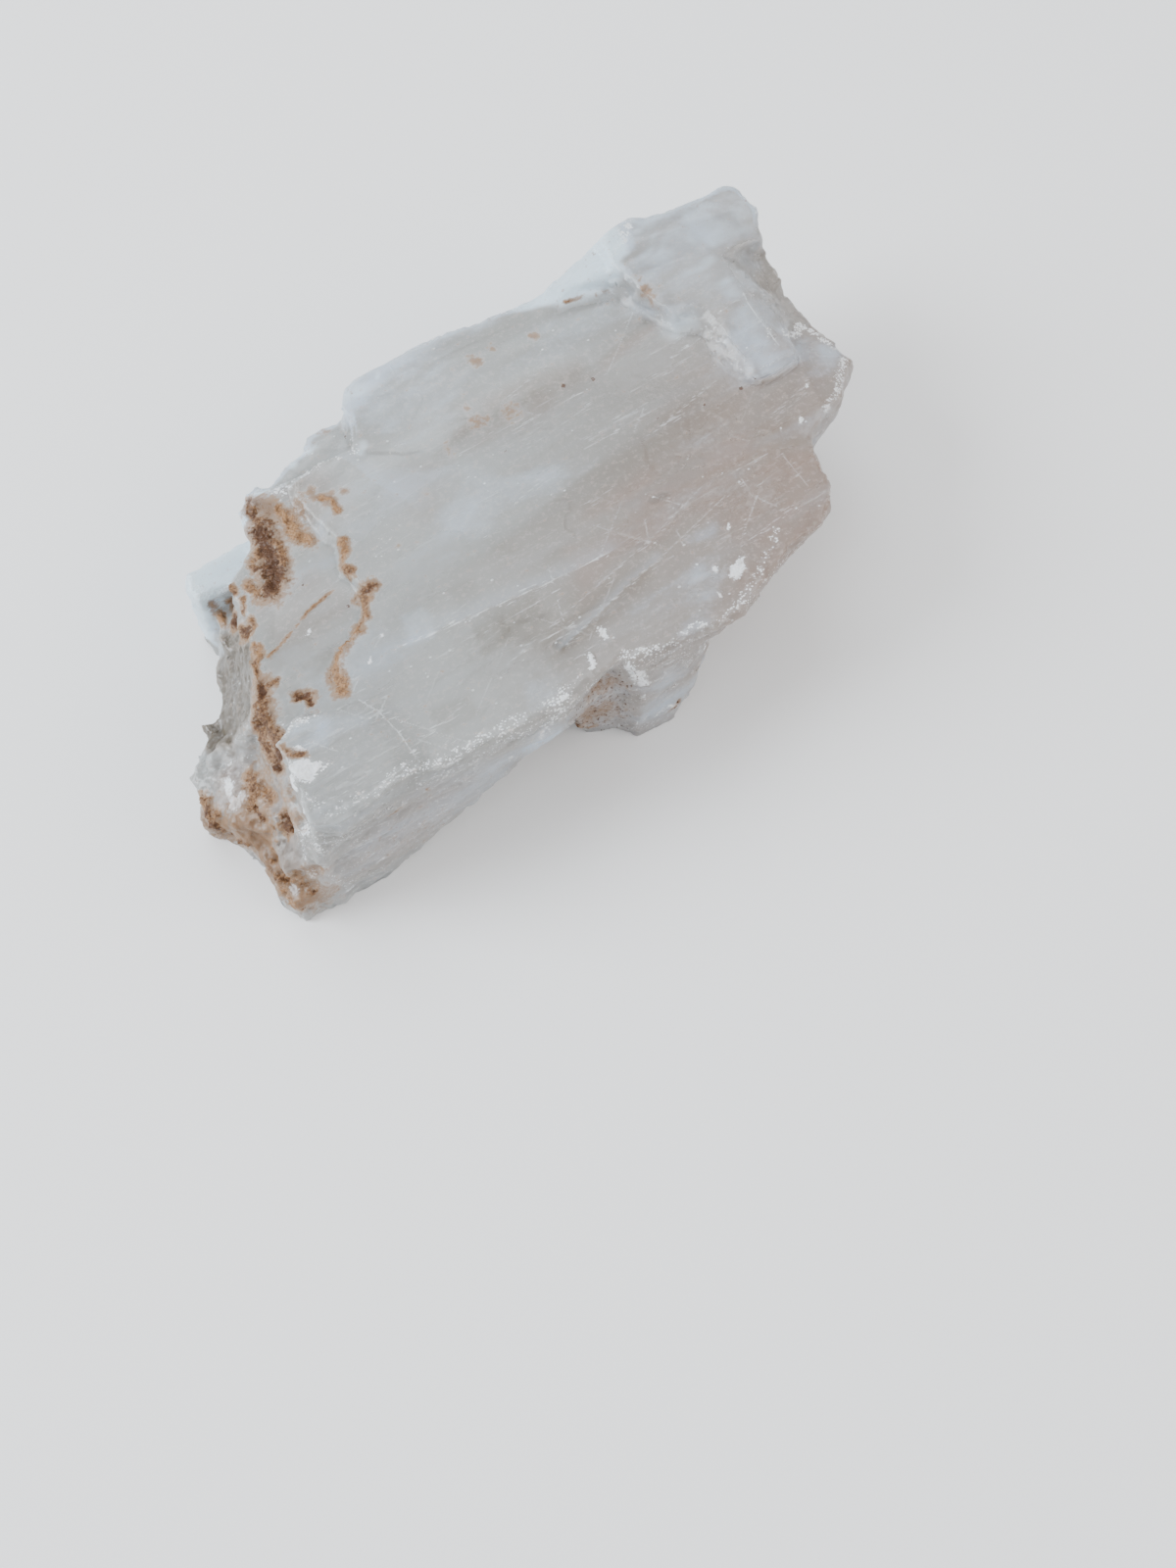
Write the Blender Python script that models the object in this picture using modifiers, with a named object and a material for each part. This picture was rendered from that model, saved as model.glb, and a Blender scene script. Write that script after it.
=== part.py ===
"""A hand specimen of selenite, cleaved into a thick plate with a broken, stepped end.

The plate lies on one cleavage face. +X runs along the fibres of the crystal, +Y to the
far side and +Z up. The sizes below are in millimetres, and the mesh is made in metres.

The crystal is built the way it grew and broke: sheets parallel to the main face are
joined to one solid, pieces are split off it along slanting cleavage planes, and the
broken faces are roughened.
"""

import bmesh
import bpy
from mathutils import Matrix, Vector, noise

MM = 0.001

# Heights of the sheets, from the face that the plate lies on.
BED = -1.5           # the rough underside, before it is levelled at 0
FOOT_TOP = 7.2
CORE_TOP = 12.4
LUMP_TOP = 15.5
SHELF_TOP = 16.2     # the block that stands out at the back of the left end
MIDDLE_TOP = 18.6
LEDGE_TOP = 21.2     # the narrow ledge beside the far left edge
BORDER_TOP = 23.6    # the strip between the two stained step lines, before it dips
MAIN_FACE = 24.0
SPLINT_TOP = 24.7    # the thin sheet left over on the near left of the main face
FAR_TOP = 24.25      # the thin sheet along the far side
RAISED_TOP = 25.4    # the raised layer where it starts, before it dips
OVERLAP = 1.3        # how far a sheet reaches into the one below it

VOXEL = 0.6          # grain of the roughened surface
FACE_BUDGET = 9200   # triangles left on the finished solid

# Outlines of the sheets seen from above, as (x, y).
FOOT = (
    (-42.8, 15), (-43.2, 17.5), (-42.4, 20.6), (-33, 19.5), (-24, 14.5), (-17, 15.5),
    (-12.5, 20.8), (8, 23), (24.5, 20.5), (28.5, 14), (38.5, 11), (35, 1.5), (27.5, -4.5),
    (19, -9.5), (8, -11), (-4, -13.6), (-13, -14.5), (-20, -22),
    (-25, -27.5), (-31, -28.5), (-46.5, -28.8), (-51.6, -28.4), (-53.4, -25.2), (-52.4, -19),
    (-54.2, -14), (-56.8, -9.5), (-55.6, -5), (-52, -1), (-50.4, 0), (-50.4, 2.6),
    (-48.2, 1.6), (-45.6, 5.2), (-45.2, 8.2), (-43.2, 11.5), (-41.8, 13.5),
)
CORE = (
    (-37, 17), (-31, 20.5), (-18, 23), (-4, 28), (12, 28.5), (28, 25), (42, 24), (48, 12),
    (44, 1), (37, -6), (26, -13), (14, -17), (-2, -18), (-8, -20), (-10.5, -26.8),
    (-26, -28.5), (-47, -29), (-49.5, -26), (-48, -19), (-46.5, -12), (-46, -6),
    (-44.6, 0), (-43.6, 5), (-42.6, 10), (-41, 14),
)
MIDDLE = (
    (-31, 18), (-29, 21), (-21, 24), (-8, 29), (6, 30), (24, 29), (40, 28.5), (52, 27),
    (52.6, 14), (51, 2), (44, -4), (36, -15), (28, -20), (18, -24), (4, -26), (-8, -27.8),
    (-24, -28.7), (-47, -28.6), (-47.6, -24), (-46.6, -17), (-45.8, -11), (-44.6, -5.5),
    (-42, -1), (-41, 3.5), (-39.4, 8.4), (-38.5, 12), (-35.4, 14.4), (-32.6, 16.4),
)
LEDGE = (
    (-29, 12), (-31.6, 14.6), (-32.4, 17.8), (-31.8, 21.2), (-29.4, 24), (-27.6, 24.4), (-26.5, 22.8), (-23, 24.7), (-19.6, 25.8), (-17.8, 27.6),
    (-14.6, 28.1), (-12.4, 27.4), (-10, 26), (-8, 20),
)
BORDER = (
    (-30.6, 18.4), (-29, 21.4), (-26.6, 21.6), (-18, 21), (-18, -27),
    (-31, -28), (-43, -28.9), (-46.8, -27.8), (-45.8, -24), (-45.4, -19.5), (-45.2, -14.5),
    (-44.3, -10.5), (-44, -6), (-41.8, -3), (-40, 1), (-38.9, 5), (-38.5, 9),
    (-38.1, 11.9), (-35, 14.1), (-32.3, 16),
)
MAIN = (
    (-23.5, 14), (-24.5, 17), (-23.6, 19.7), (-18, 20.8), (-13.4, 20.6), (-12.2, 23.4),
    (-11.3, 27.8), (-9.4, 30.5), (-4.5, 31.2), (7, 31), (14.5, 29.6), (24, 29), (36, 29.8),
    (46, 28), (56, 27), (56.4, 22), (54.6, 12.5), (54, 8.5), (56.6, -3.2),
    (53, -6), (50, -8.6), (44.8, -11), (41.9, -12.4), (41, -15.3), (39.4, -20), (37.8, -23.2),
    (35.4, -24.6), (32, -25.4), (28.6, -25.8), (25.8, -27.6), (21.8, -28.8), (19.4, -30),
    (17.4, -31), (13, -30.6), (8, -30), (1.2, -29.9), (-0.3, -27.9), (-3.7, -28.8),
    (-6.5, -29.5), (-9.6, -30), (-13, -29.8), (-18, -29.4), (-31, -28.7), (-30.5, -24), (-31.5, -17), (-34, -12.5),
    (-31, -6.5), (-27, -5.2), (-23.2, -1), (-24.4, 3), (-23.2, 8),
)
SPLINT = (
    (-34.2, -12.8), (-31.6, -17), (-30.6, -22), (-30.4, -28.3), (-43, -29.3), (-46.4, -27.4),
    (-45, -21), (-44.4, -15), (-40, -12.3),
)
FAR_SHEET = (
    (-13.4, 20), (-8, 16), (-4, 13.8), (2, 14.5), (9, 15), (16.5, 14.7), (22.5, 15.8),
    (30, 17), (35, 20), (35, 29), (24, 28.8), (14.5, 29.4), (7, 30.8), (-4.5, 31),
    (-8.8, 29.6), (-10.5, 27.2), (-11.2, 23.5),
)
RAISED = (
    (32.8, 25.3), (33.4, 20), (34.6, 17.4), (36, 13), (40, 11.4), (39, 8), (38.7, 3.2),
    (39.6, 0.6), (42, -1.5), (46.6, -2.8), (49, 4), (53.6, 10), (54.3, 13.5), (55.4, 20),
    (57.5, 24.8), (57.4, 28.8), (55.4, 30.3), (47.4, 29.1), (41.4, 29.6), (39, 31), (33, 30.2),
)
FLANK = (
    (19.8, 27.6), (23, 26.9), (25.7, 25.9), (30.4, 25.2), (33, 23.4), (36, 25), (38, 30.3),
    (30.5, 29.6), (24.5, 28.8),
)
CHUNK = (
    (-7.2, -26), (-6.4, -23), (-4, -14), (12, -14), (16.4, -21), (16, -26.6), (13, -28.8),
    (9, -29.8), (2.5, -29.8), (0.4, -26.8), (-3.6, -25.4),
)
BACK_BLOCK = (
    (-42.7, 14.6), (-43, 17), (-42.3, 19.7), (-31, 20.1), (-29, 12), (-36.8, 14),
    (-40.5, 14.7),
)
HOLLOW = (
    (-38, 10), (-38, -8), (-47, -8), (-49.8, -2), (-49.6, 1.2), (-47.8, 1.4), (-45.4, 5),
    (-45, 8.2), (-42.8, 11.6), (-40, 13.6),
)
LEFT_LUMP = (
    (-56, -9.5), (-55, -5.6), (-52, -3.4), (-49.5, -2.6), (-43, -2.6), (-40, -8),
    (-41, -20), (-43, -27), (-48.4, -28), (-51.2, -26), (-51.2, -19), (-53.8, -14),
)


def clear_scene():
    for thing in list(bpy.data.objects):
        bpy.data.objects.remove(thing, do_unlink=True)


def new_collection(name):
    group = bpy.data.collections.new(name)
    bpy.context.scene.collection.children.link(group)
    return group


def mesh_object(name, data, group):
    made = bpy.data.objects.new(name, data)
    group.objects.link(made)
    return made


def evaluated_mesh(thing):
    bpy.context.view_layer.update()
    return bpy.data.meshes.new_from_object(thing.evaluated_get(bpy.context.evaluated_depsgraph_get()))


def settle(body):
    """Apply the body's modifiers and its placing, so that the next step starts from a plain mesh."""
    solid = evaluated_mesh(body)
    solid.transform(body.matrix_world)
    body.modifiers.clear()
    body.data = solid
    body.matrix_world = Matrix.Identity(4)


def sheet(name, outline, low, high, group, dip=(0.0, 0.0)):
    """One sheet of the crystal: a flat outline with a thickness, dipped about X and Y in radians."""
    curve = bpy.data.curves.new(name, "CURVE")
    curve.dimensions = "2D"
    curve.fill_mode = "BOTH"
    curve.extrude = (high - low) * MM / 2
    spline = curve.splines.new("POLY")
    spline.points.add(len(outline) - 1)
    for point, (x, y) in zip(spline.points, outline):
        point.co = (x * MM, y * MM, 0, 1)
    spline.use_cyclic_u = True
    drawn = mesh_object(name, curve, group)
    drawn.location.z = (high + low) * MM / 2
    drawn.rotation_euler = (dip[0], dip[1], 0)

    solid = evaluated_mesh(drawn)
    place = drawn.matrix_world.copy()
    bpy.data.objects.remove(drawn, do_unlink=True)
    shape = bmesh.new()
    shape.from_mesh(solid)
    bmesh.ops.remove_doubles(shape, verts=shape.verts, dist=0.00001)
    bmesh.ops.recalc_face_normals(shape, faces=shape.faces)
    shape.to_mesh(solid)
    shape.free()
    made = mesh_object(name, solid, group)
    made.matrix_world = place
    return made


def combine(body, other, operation):
    """Join the other mesh to the body or take it away, and remove it."""
    step = body.modifiers.new(other.name, "BOOLEAN")
    step.operation = operation
    step.solver = "EXACT"
    step.object = other
    settle(body)
    bpy.data.objects.remove(other, do_unlink=True)


def split(body, at, facing, size, cutters, along=(1, 0, 0)):
    """Break away what lies beyond the cleavage plane through `at`, inside a box of the given size.

    The box's first side runs along the plane in the direction `along`, the second across it
    and the third outwards.
    """
    width, length, depth = size
    box = bmesh.new()
    bmesh.ops.create_cube(box, size=1.0)
    bmesh.ops.scale(box, verts=box.verts, vec=(width * MM, length * MM, depth * MM))
    bmesh.ops.translate(box, verts=box.verts, vec=(0, 0, depth * MM / 2))
    mesh = bpy.data.meshes.new("broken away")
    box.to_mesh(mesh)
    box.free()
    gone = mesh_object("broken away", mesh, cutters)
    gone.hide_render = True
    gone.display_type = "WIRE"

    outward = Vector(facing).normalized()
    across = outward.cross(Vector(along)).normalized()
    lengthwise = across.cross(outward)
    turn = Matrix((lengthwise, across, outward)).transposed().to_4x4()
    gone.matrix_world = Matrix.Translation(Vector(at) * MM) @ turn
    combine(body, gone, "DIFFERENCE")


def main_plate(crystal, cutters):
    """The stack of sheets below and in the main face, with its receding underside."""
    body = sheet("selenite", CORE, FOOT_TOP - OVERLAP, CORE_TOP, crystal)
    combine(body, sheet("foot", FOOT, BED, FOOT_TOP, cutters), "UNION")
    combine(body, sheet("middle", MIDDLE, CORE_TOP - OVERLAP, MIDDLE_TOP, cutters), "UNION")
    combine(body, sheet("main", MAIN, MIDDLE_TOP - OVERLAP, MAIN_FACE, cutters), "UNION")
    split(body, (0, 30.6, 23.2), (0.05, 0.76, 0.65), (36, 8, 6), cutters)
    split(body, (48, 0, 24), (0.36, -0.08, 0.93), (26, 24, 8), cutters)
    split(body, (-5.4, -27.9, 19.9), (0.26, -0.90, -0.35), (9.6, 8, 8), cutters, (0.96, 0.28, 0))
    split(body, (-23, -29, 6.6), (0.36, -0.42, -0.83), (44, 30, 20), cutters)
    split(body, (28, -22.5, 17.2), (0.22, -0.70, -0.68), (70, 26, 16), cutters)
    split(body, (50.4, 12, 12.5), (0.80, 0.12, -0.59), (60, 34, 12), cutters, (0, 1, 0))
    split(body, (8, 29.4, 14), (-0.10, 0.90, -0.42), (70, 30, 10), cutters)
    return body


def border_strip(cutters):
    """The lower strip between the two step lines at the left, with the corner that stands out."""
    strip = sheet("border strip", BORDER, MIDDLE_TOP - OVERLAP, BORDER_TOP, cutters, (0, -0.045))
    split(strip, (-34, 8.5, 21.8), (-0.22, 0.10, 0.97), (16, 18, 6), cutters)
    return strip


def raised_layer(cutters):
    """The layer left standing at the far right, which rises to the far side."""
    layer = sheet("raised layer", RAISED, MIDDLE_TOP, RAISED_TOP, cutters, (0.15, 0))
    split(layer, (47.3, 12, 27.3), (0.20, -0.10, 0.97), (40, 60, 8), cutters, (0, 1, 0))
    split(layer, (47.3, 5, 25.8), (0.50, -0.12, 0.86), (28, 40, 8), cutters, (0, 1, 0))
    split(layer, (39.5, 4, 25.0), (-0.62, -0.10, 0.78), (18, 8, 6), cutters, (0, 1, 0))
    split(layer, (43, -1.0, 24.8), (0.0, -0.60, 0.80), (10, 8, 6), cutters)
    return layer


def raised_flank(cutters):
    """The pale slope that climbs to the raised layer along the far edge."""
    return sheet("flank", FLANK, 14.0, 18.9, cutters, (0, -0.27))


def near_chunk(cutters):
    """The lump that sticks out below the near edge, with a stained face to the left."""
    chunk = sheet("chunk", CHUNK, BED, MAIN_FACE - 1.2, cutters, (0.03, 0))
    split(chunk, (0, -29.2, 22.4), (-0.1, -0.92, 0.38), (22, 12, 6), cutters)
    split(chunk, (16.2, -26, 8), (0.72, -0.40, -0.57), (22, 22, 12), cutters, (0, 1, 0))
    split(chunk, (-7.5, -26, 13), (-0.96, -0.06, -0.28), (24, 34, 12), cutters, (0, 1, 0))
    return chunk


def back_block(cutters):
    """The block that stands out low at the back of the left end."""
    return sheet("back block", BACK_BLOCK, BED, SHELF_TOP, cutters, (0.02, 0.01))


def left_hollow(cutters):
    """The smooth slope below the strip, between the back block and the lump."""
    slope = sheet("hollow", HOLLOW, BED, LEDGE_TOP, cutters)
    split(slope, (-40.9, 0, 21.6), (-0.82, 0.41, 0.40), (60, 80, 20), cutters, (0, 1, 0))
    return slope


def left_lump(cutters):
    """The granular lump low at the near left corner."""
    lump = sheet("left lump", LEFT_LUMP, BED, LUMP_TOP, cutters)
    split(lump, (-47, -12, 13.4), (-0.56, 0.10, 0.82), (40, 34, 16), cutters, (0, 1, 0))
    split(lump, (-50, -27.6, 8), (-0.62, -0.72, 0.32), (20, 30, 12), cutters)
    return lump


def ramp(value, start, end):
    """0 before start, 1 after end, smooth between."""
    share = min(max((value - start) / (end - start), 0.0), 1.0)
    return share * share * (3 - 2 * share)


def roughness_at(x, y, z, facing):
    """How far the surface moves in or out at a point, in millimetres."""
    wall = 1 - ramp(abs(facing.z), 0.80, 0.96)
    left_end = ramp(-x, 40, 47) * ramp(-z, -19.5, -15) * ramp(-y, -1, 5)
    underside = ramp(-facing.z, 0.5, 0.9)
    lumps = noise.noise((x / 4.2, y / 4.2, z / 4.2)) + 0.5 * noise.noise((x / 1.9, y / 1.9, z / 1.9))
    streaks = noise.noise((x / 16, y / 2.4, z / 1.5)) + 0.6 * noise.noise((x / 9 + 7, y / 1.3, z / 0.9))
    swell = noise.noise((x / 22 + 3, y / 10, z / 10))
    moved = 0.10 * swell
    moved += wall * (0.32 * streaks + 0.26 * lumps)
    moved += left_end * (0.62 * lumps + 0.20 * streaks)
    moved += underside * (0.45 * lumps + 0.35 * streaks)
    return moved


def roughen(body):
    """Give the solid an even grain, move it in and out, and thin it to its face budget."""
    grain = body.modifiers.new("grain", "REMESH")
    grain.mode = "VOXEL"
    grain.voxel_size = VOXEL * MM
    settle(body)

    shape = bmesh.new()
    shape.from_mesh(body.data)
    shape.normal_update()
    shifts = []
    for vert in shape.verts:
        x, y, z = vert.co / MM
        shifts.append(vert.normal * roughness_at(x, y, z, vert.normal) * MM)
    for vert, shift in zip(shape.verts, shifts):
        vert.co += shift
    bmesh.ops.triangulate(shape, faces=shape.faces)
    shape.to_mesh(body.data)
    count = len(shape.faces)
    shape.free()

    thin = body.modifiers.new("thin", "DECIMATE")
    thin.ratio = FACE_BUDGET / count
    settle(body)


def level_base(body):
    """Cut the underside flat where it rests, and stand the middle of the base on the origin."""
    shape = bmesh.new()
    shape.from_mesh(body.data)
    geometry = shape.verts[:] + shape.edges[:] + shape.faces[:]
    bmesh.ops.bisect_plane(shape, geom=geometry, plane_co=(0, 0, 0), plane_no=(0, 0, 1), clear_inner=True)
    rim = [edge for edge in shape.edges if edge.is_boundary]
    bmesh.ops.triangle_fill(shape, edges=rim, normal=(0, 0, -1))
    bmesh.ops.recalc_face_normals(shape, faces=shape.faces)
    xs = [vert.co.x for vert in shape.verts]
    ys = [vert.co.y for vert in shape.verts]
    middle = Vector(((min(xs) + max(xs)) / 2, (min(ys) + max(ys)) / 2, 0))
    bmesh.ops.translate(shape, verts=shape.verts, vec=-middle)
    shape.to_mesh(body.data)
    shape.free()


def selenite_material():
    look = bpy.data.materials.new("milky selenite")
    look.use_nodes = True
    shader = look.node_tree.nodes["Principled BSDF"]
    shader.inputs["Base Color"].default_value = (0.50, 0.51, 0.51, 1)
    shader.inputs["Roughness"].default_value = 0.35
    shader.inputs["Metallic"].default_value = 0.0
    shader.inputs["IOR"].default_value = 1.52
    shader.inputs["Transmission Weight"].default_value = 0.5
    return look


def build_selenite(crystal, cutters):
    body = main_plate(crystal, cutters)
    combine(body, sheet("ledge", LEDGE, MIDDLE_TOP - OVERLAP, LEDGE_TOP, cutters), "UNION")
    combine(body, border_strip(cutters), "UNION")
    combine(body, sheet("splint", SPLINT, MIDDLE_TOP + OVERLAP, SPLINT_TOP, cutters), "UNION")
    combine(body, sheet("far sheet", FAR_SHEET, MIDDLE_TOP, FAR_TOP, cutters), "UNION")
    combine(body, raised_layer(cutters), "UNION")
    combine(body, raised_flank(cutters), "UNION")
    combine(body, near_chunk(cutters), "UNION")
    combine(body, left_hollow(cutters), "UNION")
    combine(body, back_block(cutters), "UNION")
    combine(body, left_lump(cutters), "UNION")
    roughen(body)
    level_base(body)
    body.data.materials.clear()
    body.data.materials.append(selenite_material())
    return body


def main():
    clear_scene()
    crystal = new_collection("selenite specimen")
    cutters = new_collection("cutters")
    build_selenite(crystal, cutters)


main()
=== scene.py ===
"""The looks of a selenite hand specimen: a cleaved plate of milky crystal on a pale table.

The plate lies on a cleavage face, with +X along its fibres, +Y to the far side and +Z up.
Places on the crystal are in millimetres, and everything that Blender is given is in metres.
"""

import bpy
import numpy as np
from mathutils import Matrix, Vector


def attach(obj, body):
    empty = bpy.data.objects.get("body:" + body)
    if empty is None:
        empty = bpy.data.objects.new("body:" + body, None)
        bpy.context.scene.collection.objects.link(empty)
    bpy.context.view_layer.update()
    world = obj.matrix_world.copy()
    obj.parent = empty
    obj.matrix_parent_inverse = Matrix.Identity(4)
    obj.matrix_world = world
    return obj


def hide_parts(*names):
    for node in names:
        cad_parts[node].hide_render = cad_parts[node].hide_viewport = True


bl_info = {
    "name": "Selenite specimen",
    "version": (1, 0, 0),
    "blender": (4, 5, 0),
    "location": "View3D > Sidebar > Selenite",
    "description": "Grows a cleaved plate of milky selenite and the table it lies on",
    "category": "Add Mesh",
}

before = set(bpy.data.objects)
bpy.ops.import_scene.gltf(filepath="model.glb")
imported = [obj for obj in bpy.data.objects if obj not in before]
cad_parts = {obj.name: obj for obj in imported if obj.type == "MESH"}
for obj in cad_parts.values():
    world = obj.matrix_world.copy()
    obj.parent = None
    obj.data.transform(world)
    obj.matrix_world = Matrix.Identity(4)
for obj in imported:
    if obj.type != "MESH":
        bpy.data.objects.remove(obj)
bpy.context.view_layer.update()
MM = 0.001
NODE = "selenite"
COOL = (0.88, 0.94, 1.0)  # colours of the lights
WARM = (1.0, 0.92, 0.87)

# How the crystal is drawn; these lengths are in millimetres.
TOP = 24.0           # height of the main cleavage face
FLAT = (0.80, 0.95)  # upward part of a unit normal where a face starts to be level, and where it is
HAIR = 0.2           # half width up to which a run of clay keeps to a smooth line
CLAY_SPREAD = 2.6    # how far clay reaches, as a multiple of its half width
WASH_SPREAD = 1.5    # how far a wash reaches, as a multiple of its radius
BLOCK_SIZE = 6.5     # side of the blocks that the ends of the sheets break into
CRACK_REACH = 3.0    # distance from a crack at which its field has fallen to 0
LOOSE = 1.0          # softness above which the outline of a zone strays far and its tone is patchy
BENT = 0.7           # softness above which the outline of a zone strays a little
FAR = 9.0            # a distance greater than any that counts
HAIRLINES = 130      # how many faint flaws the main face has
FACE_SPAN = ((-30, 48), (-26, 16))      # the x and the y at which flaws of the main face start
SPLINT_SPAN = ((-44, -31), (-28, -11))  # the same for the splint at the near left

# The fields that the mesh carries and the finish reads.
PAINTED = (
    "clay", "dark", "wash", "chalk", "wall", "cloud", "streak", "sheet", "haze", "pale", "clear", "blush",
    "flash", "gloom", "crack", "crack_white", "specks",
)

# --------------------------------------------------
# Places on the crystal, in millimetres
# --------------------------------------------------

# Clay in the breaks: half its width, how dark it is from 0 to 1, and the points it runs through.
CLAY_RUNS = (
    (0.6, 0.8, ((-30, 22.3, 21.2), (-30.4, 19.6, 22), (-30.7, 17.5, 22.1), (-31.1, 15.8, 21.8))),
    (1.4, 1, ((-30.9, 16.4, 21.9), (-31.2, 13.8, 21.8), (-31.6, 11.9, 22), (-32.3, 10.2, 22))),
    (0.6, 0.6, ((-29.9, 13.4, 22.2), (-29.9, 11.8, 22.3), (-30.9, 9.8, 22.3))),
    (1.3, 0.95, ((-32.5, 9.9, 22.1), (-32.6, 8.3, 22.2), (-33.8, 7.9, 21.9), (-34.2, 7, 22))),
    (0.5, 0.55, ((-32.8, 14.2, 21.5), (-33.5, 13.1, 21.5))),
    (0.45, 0.7, ((-34.2, 12.3, 21.4), (-34.1, 11.2, 21.5))),
    (0.6, 0.5, ((-36.1, 10.1, 21.2), (-36.1, 8.9, 21.3), (-35.6, 7.9, 21.5))),
    (0.35, 0.35, ((-41.1, 14.3, 14.6), (-41, 13.6, 12.6), (-41.1, 12.2, 12.4))),
    (0.4, 0.45, ((-38.9, 13.7, 13.2), (-39.3, 12.4, 13.4))),
    (0.7, 1, ((-39.6, 10.7, 14), (-39.7, 9.4, 14.4))),
    (0.35, 0.6, ((-38, 11.4, 20.6), (-38.4, 10.1, 20.6))),
    (0.4, 0.6, ((-38.2, 8.5, 20.9), (-38.5, 7.4, 20.9))),
    (0.45, 0.6, ((-38.6, 5.2, 21.2), (-38.8, 4, 21.2))),
    (0.8, 0.95, ((-40, 5.4, 18.9), (-39.6, 3.9, 20))),
    (0.5, 0.4, ((-40, 1.2, 21.3), (-40.3, -0.3, 21.4), (-41.2, -1.7, 21.7))),
    (0.35, 0.6, ((-41.2, -1.7, 21.7), (-41.6, -3.4, 21.7))),
    (0.4, 0.65, ((-40.3, -5.5, 21.7), (-41.4, -5.2, 21.7))),
    (0.8, 0.95, ((-41.8, -4.8, 21.7), (-42.3, -5.9, 21.7), (-42.8, -6.9, 21.6))),
    (0.8, 0.65, ((-43.8, -7.4, 19.8), (-45, -8.8, 19), (-45.6, -11, 18.6), (-45.8, -13.2, 18.8))),
    (1, 0.7, ((-42.8, -6.9, 21.6), (-44, -7.9, 21.4), (-44.3, -9.7, 21.2), (-44.5, -12.3, 21.5),
        (-44.9, -13.8, 21.4))),
    (0.8, 1, ((-44.9, -13.8, 21.4), (-45, -15.5, 21.4), (-46, -14.6, 18.8))),
    (0.4, 0.6, ((-44.6, -15.8, 24), (-43.9, -17, 24.7), (-42.8, -18.4, 24.7))),
    (0.6, 0.25, ((-22.6, 7.4, 23.9), (-23.7, 5.2, 23.8))),
    (0.8, 0.2, ((-27, 17.6, 22.4), (-27, 15.2, 22.4), (-27, 13, 22.4), (-26.1, 11.2, 22.5))),
    (0.4, 0.1, ((-21.6, 15.9, 24), (-20.4, 14.4, 24), (-20.8, 12.6, 24))),
    (0.5, 0.55, ((-24.1, 3.8, 24), (-24, 2.8, 24))),
    (0.8, 0.75, ((-24.6, -0.4, 23.8), (-22.9, -0.8, 24))),
    (0.5, 0.5, ((-24.3, -2, 23.6), (-25.3, -4.2, 24), (-27, -4.9, 23.8))),
    (0.7, 0.35, ((-27.2, -5, 23.8), (-30.2, -6.6, 23.8), (-32.4, -8.2, 23), (-33.4, -10.2, 23))),
    (0.9, 0.3, ((-33.2, -10.2, 23), (-33.7, -11.8, 23.6))),
    (0.6, 0.85, ((-38.7, -8.8, 21.8), (-37.7, -9.3, 21.9), (-37.8, -10.9, 22))),
    (0.15, 0.45, ((-39.5, -1.5, 21.8), (-35.7, -0.3, 22), (-31.2, 1.3, 22.2), (-27.2, 2, 22.4))),
    (0.8, 0.55, ((-49, -11.4, 12.3), (-49.6, -13.2, 12), (-50.4, -14.3, 11.5))),
    (0.28, 0.8, ((-50.4, -14.3, 11.5), (-50.2, -16.3, 11.8), (-50.2, -18, 11.9), (-49.8, -19.8, 12.8))),
    (0.22, 0.8, ((-51.4, -16.5, 11), (-51.2, -18.5, 11.4))),
    (0.6, 0.5, ((-48.1, -14.6, 12.6), (-48, -16.1, 13.3))),
    (0.8, 0.9, ((-47.8, -20.3, 14.4), (-47.9, -21.6, 14))),
    (0.5, 0.7, ((-56, -9.6, 7.3), (-56.1, -11.7, 6.8), (-55.4, -13.2, 6))),
    (0.35, 0.6, ((-55.4, -10.6, 7.8), (-54.8, -11.6, 7.6))),
    (0.4, 0.75, ((-54.8, -13.4, 3.5), (-54.2, -15.4, 5.6), (-53.5, -17.2, 6.6))),
    (0.3, 0.5, ((-50.6, -21.5, 11.9), (-51.9, -20.3, 8.4), (-52.2, -22.8, 6.8))),
    (0.6, 0.6, ((-52.6, -23.6, 7.2), (-51.6, -24.9, 7.2), (-50.8, -25.6, 9.4))),
    (0.25, 0.6, ((-50.2, -26.6, 9.4), (-49.9, -28.4, 7.4), (-49, -28.7, 7.8))),
    (0.8, 0.4, ((-52.6, -26.2, 5.8), (-52.6, -28, 5))),
    (0.7, 0.5, ((-56.3, -7.4, 6.4), (-55.7, -8.8, 7.2))),
    (0.3, 0.6, ((-51.8, -28.4, 5), (-50.8, -28.9, 5.2))),
    (0.16, 0.55, ((24.8, 25.2, 24.9), (26.4, 24.7, 24.8), (28.2, 24.5, 24.9), (31, 23.2, 24.9))),
    (0.12, 0.2, ((34.4, 20.8, 28.6), (34.1, 19.1, 28.2), (34.1, 17.8, 27.7), (34.2, 16.7, 27))),
    (0.16, 0.55, ((-36.4, -28.8, 17.1), (-35.1, -28.8, 17.4))),
    (0.14, 0.45, ((-30.7, -28.9, 19.6), (-30.4, -28.9, 17.1), (-30.2, -28.7, 14.4))),
    (0.45, 0.9, ((-6.9, -25.4, 12), (-6.3, -25.2, 8.5))),
    (0.25, 0.6, ((-6, -25.2, 5), (-4.6, -25.3, 3), (-2.2, -25.7, 2.2))),
    (0.15, 0.9, ((6.5, -29.7, 2.6), (8.9, -29.9, 4.2), (10.6, -29.9, 7))),
)

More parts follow.
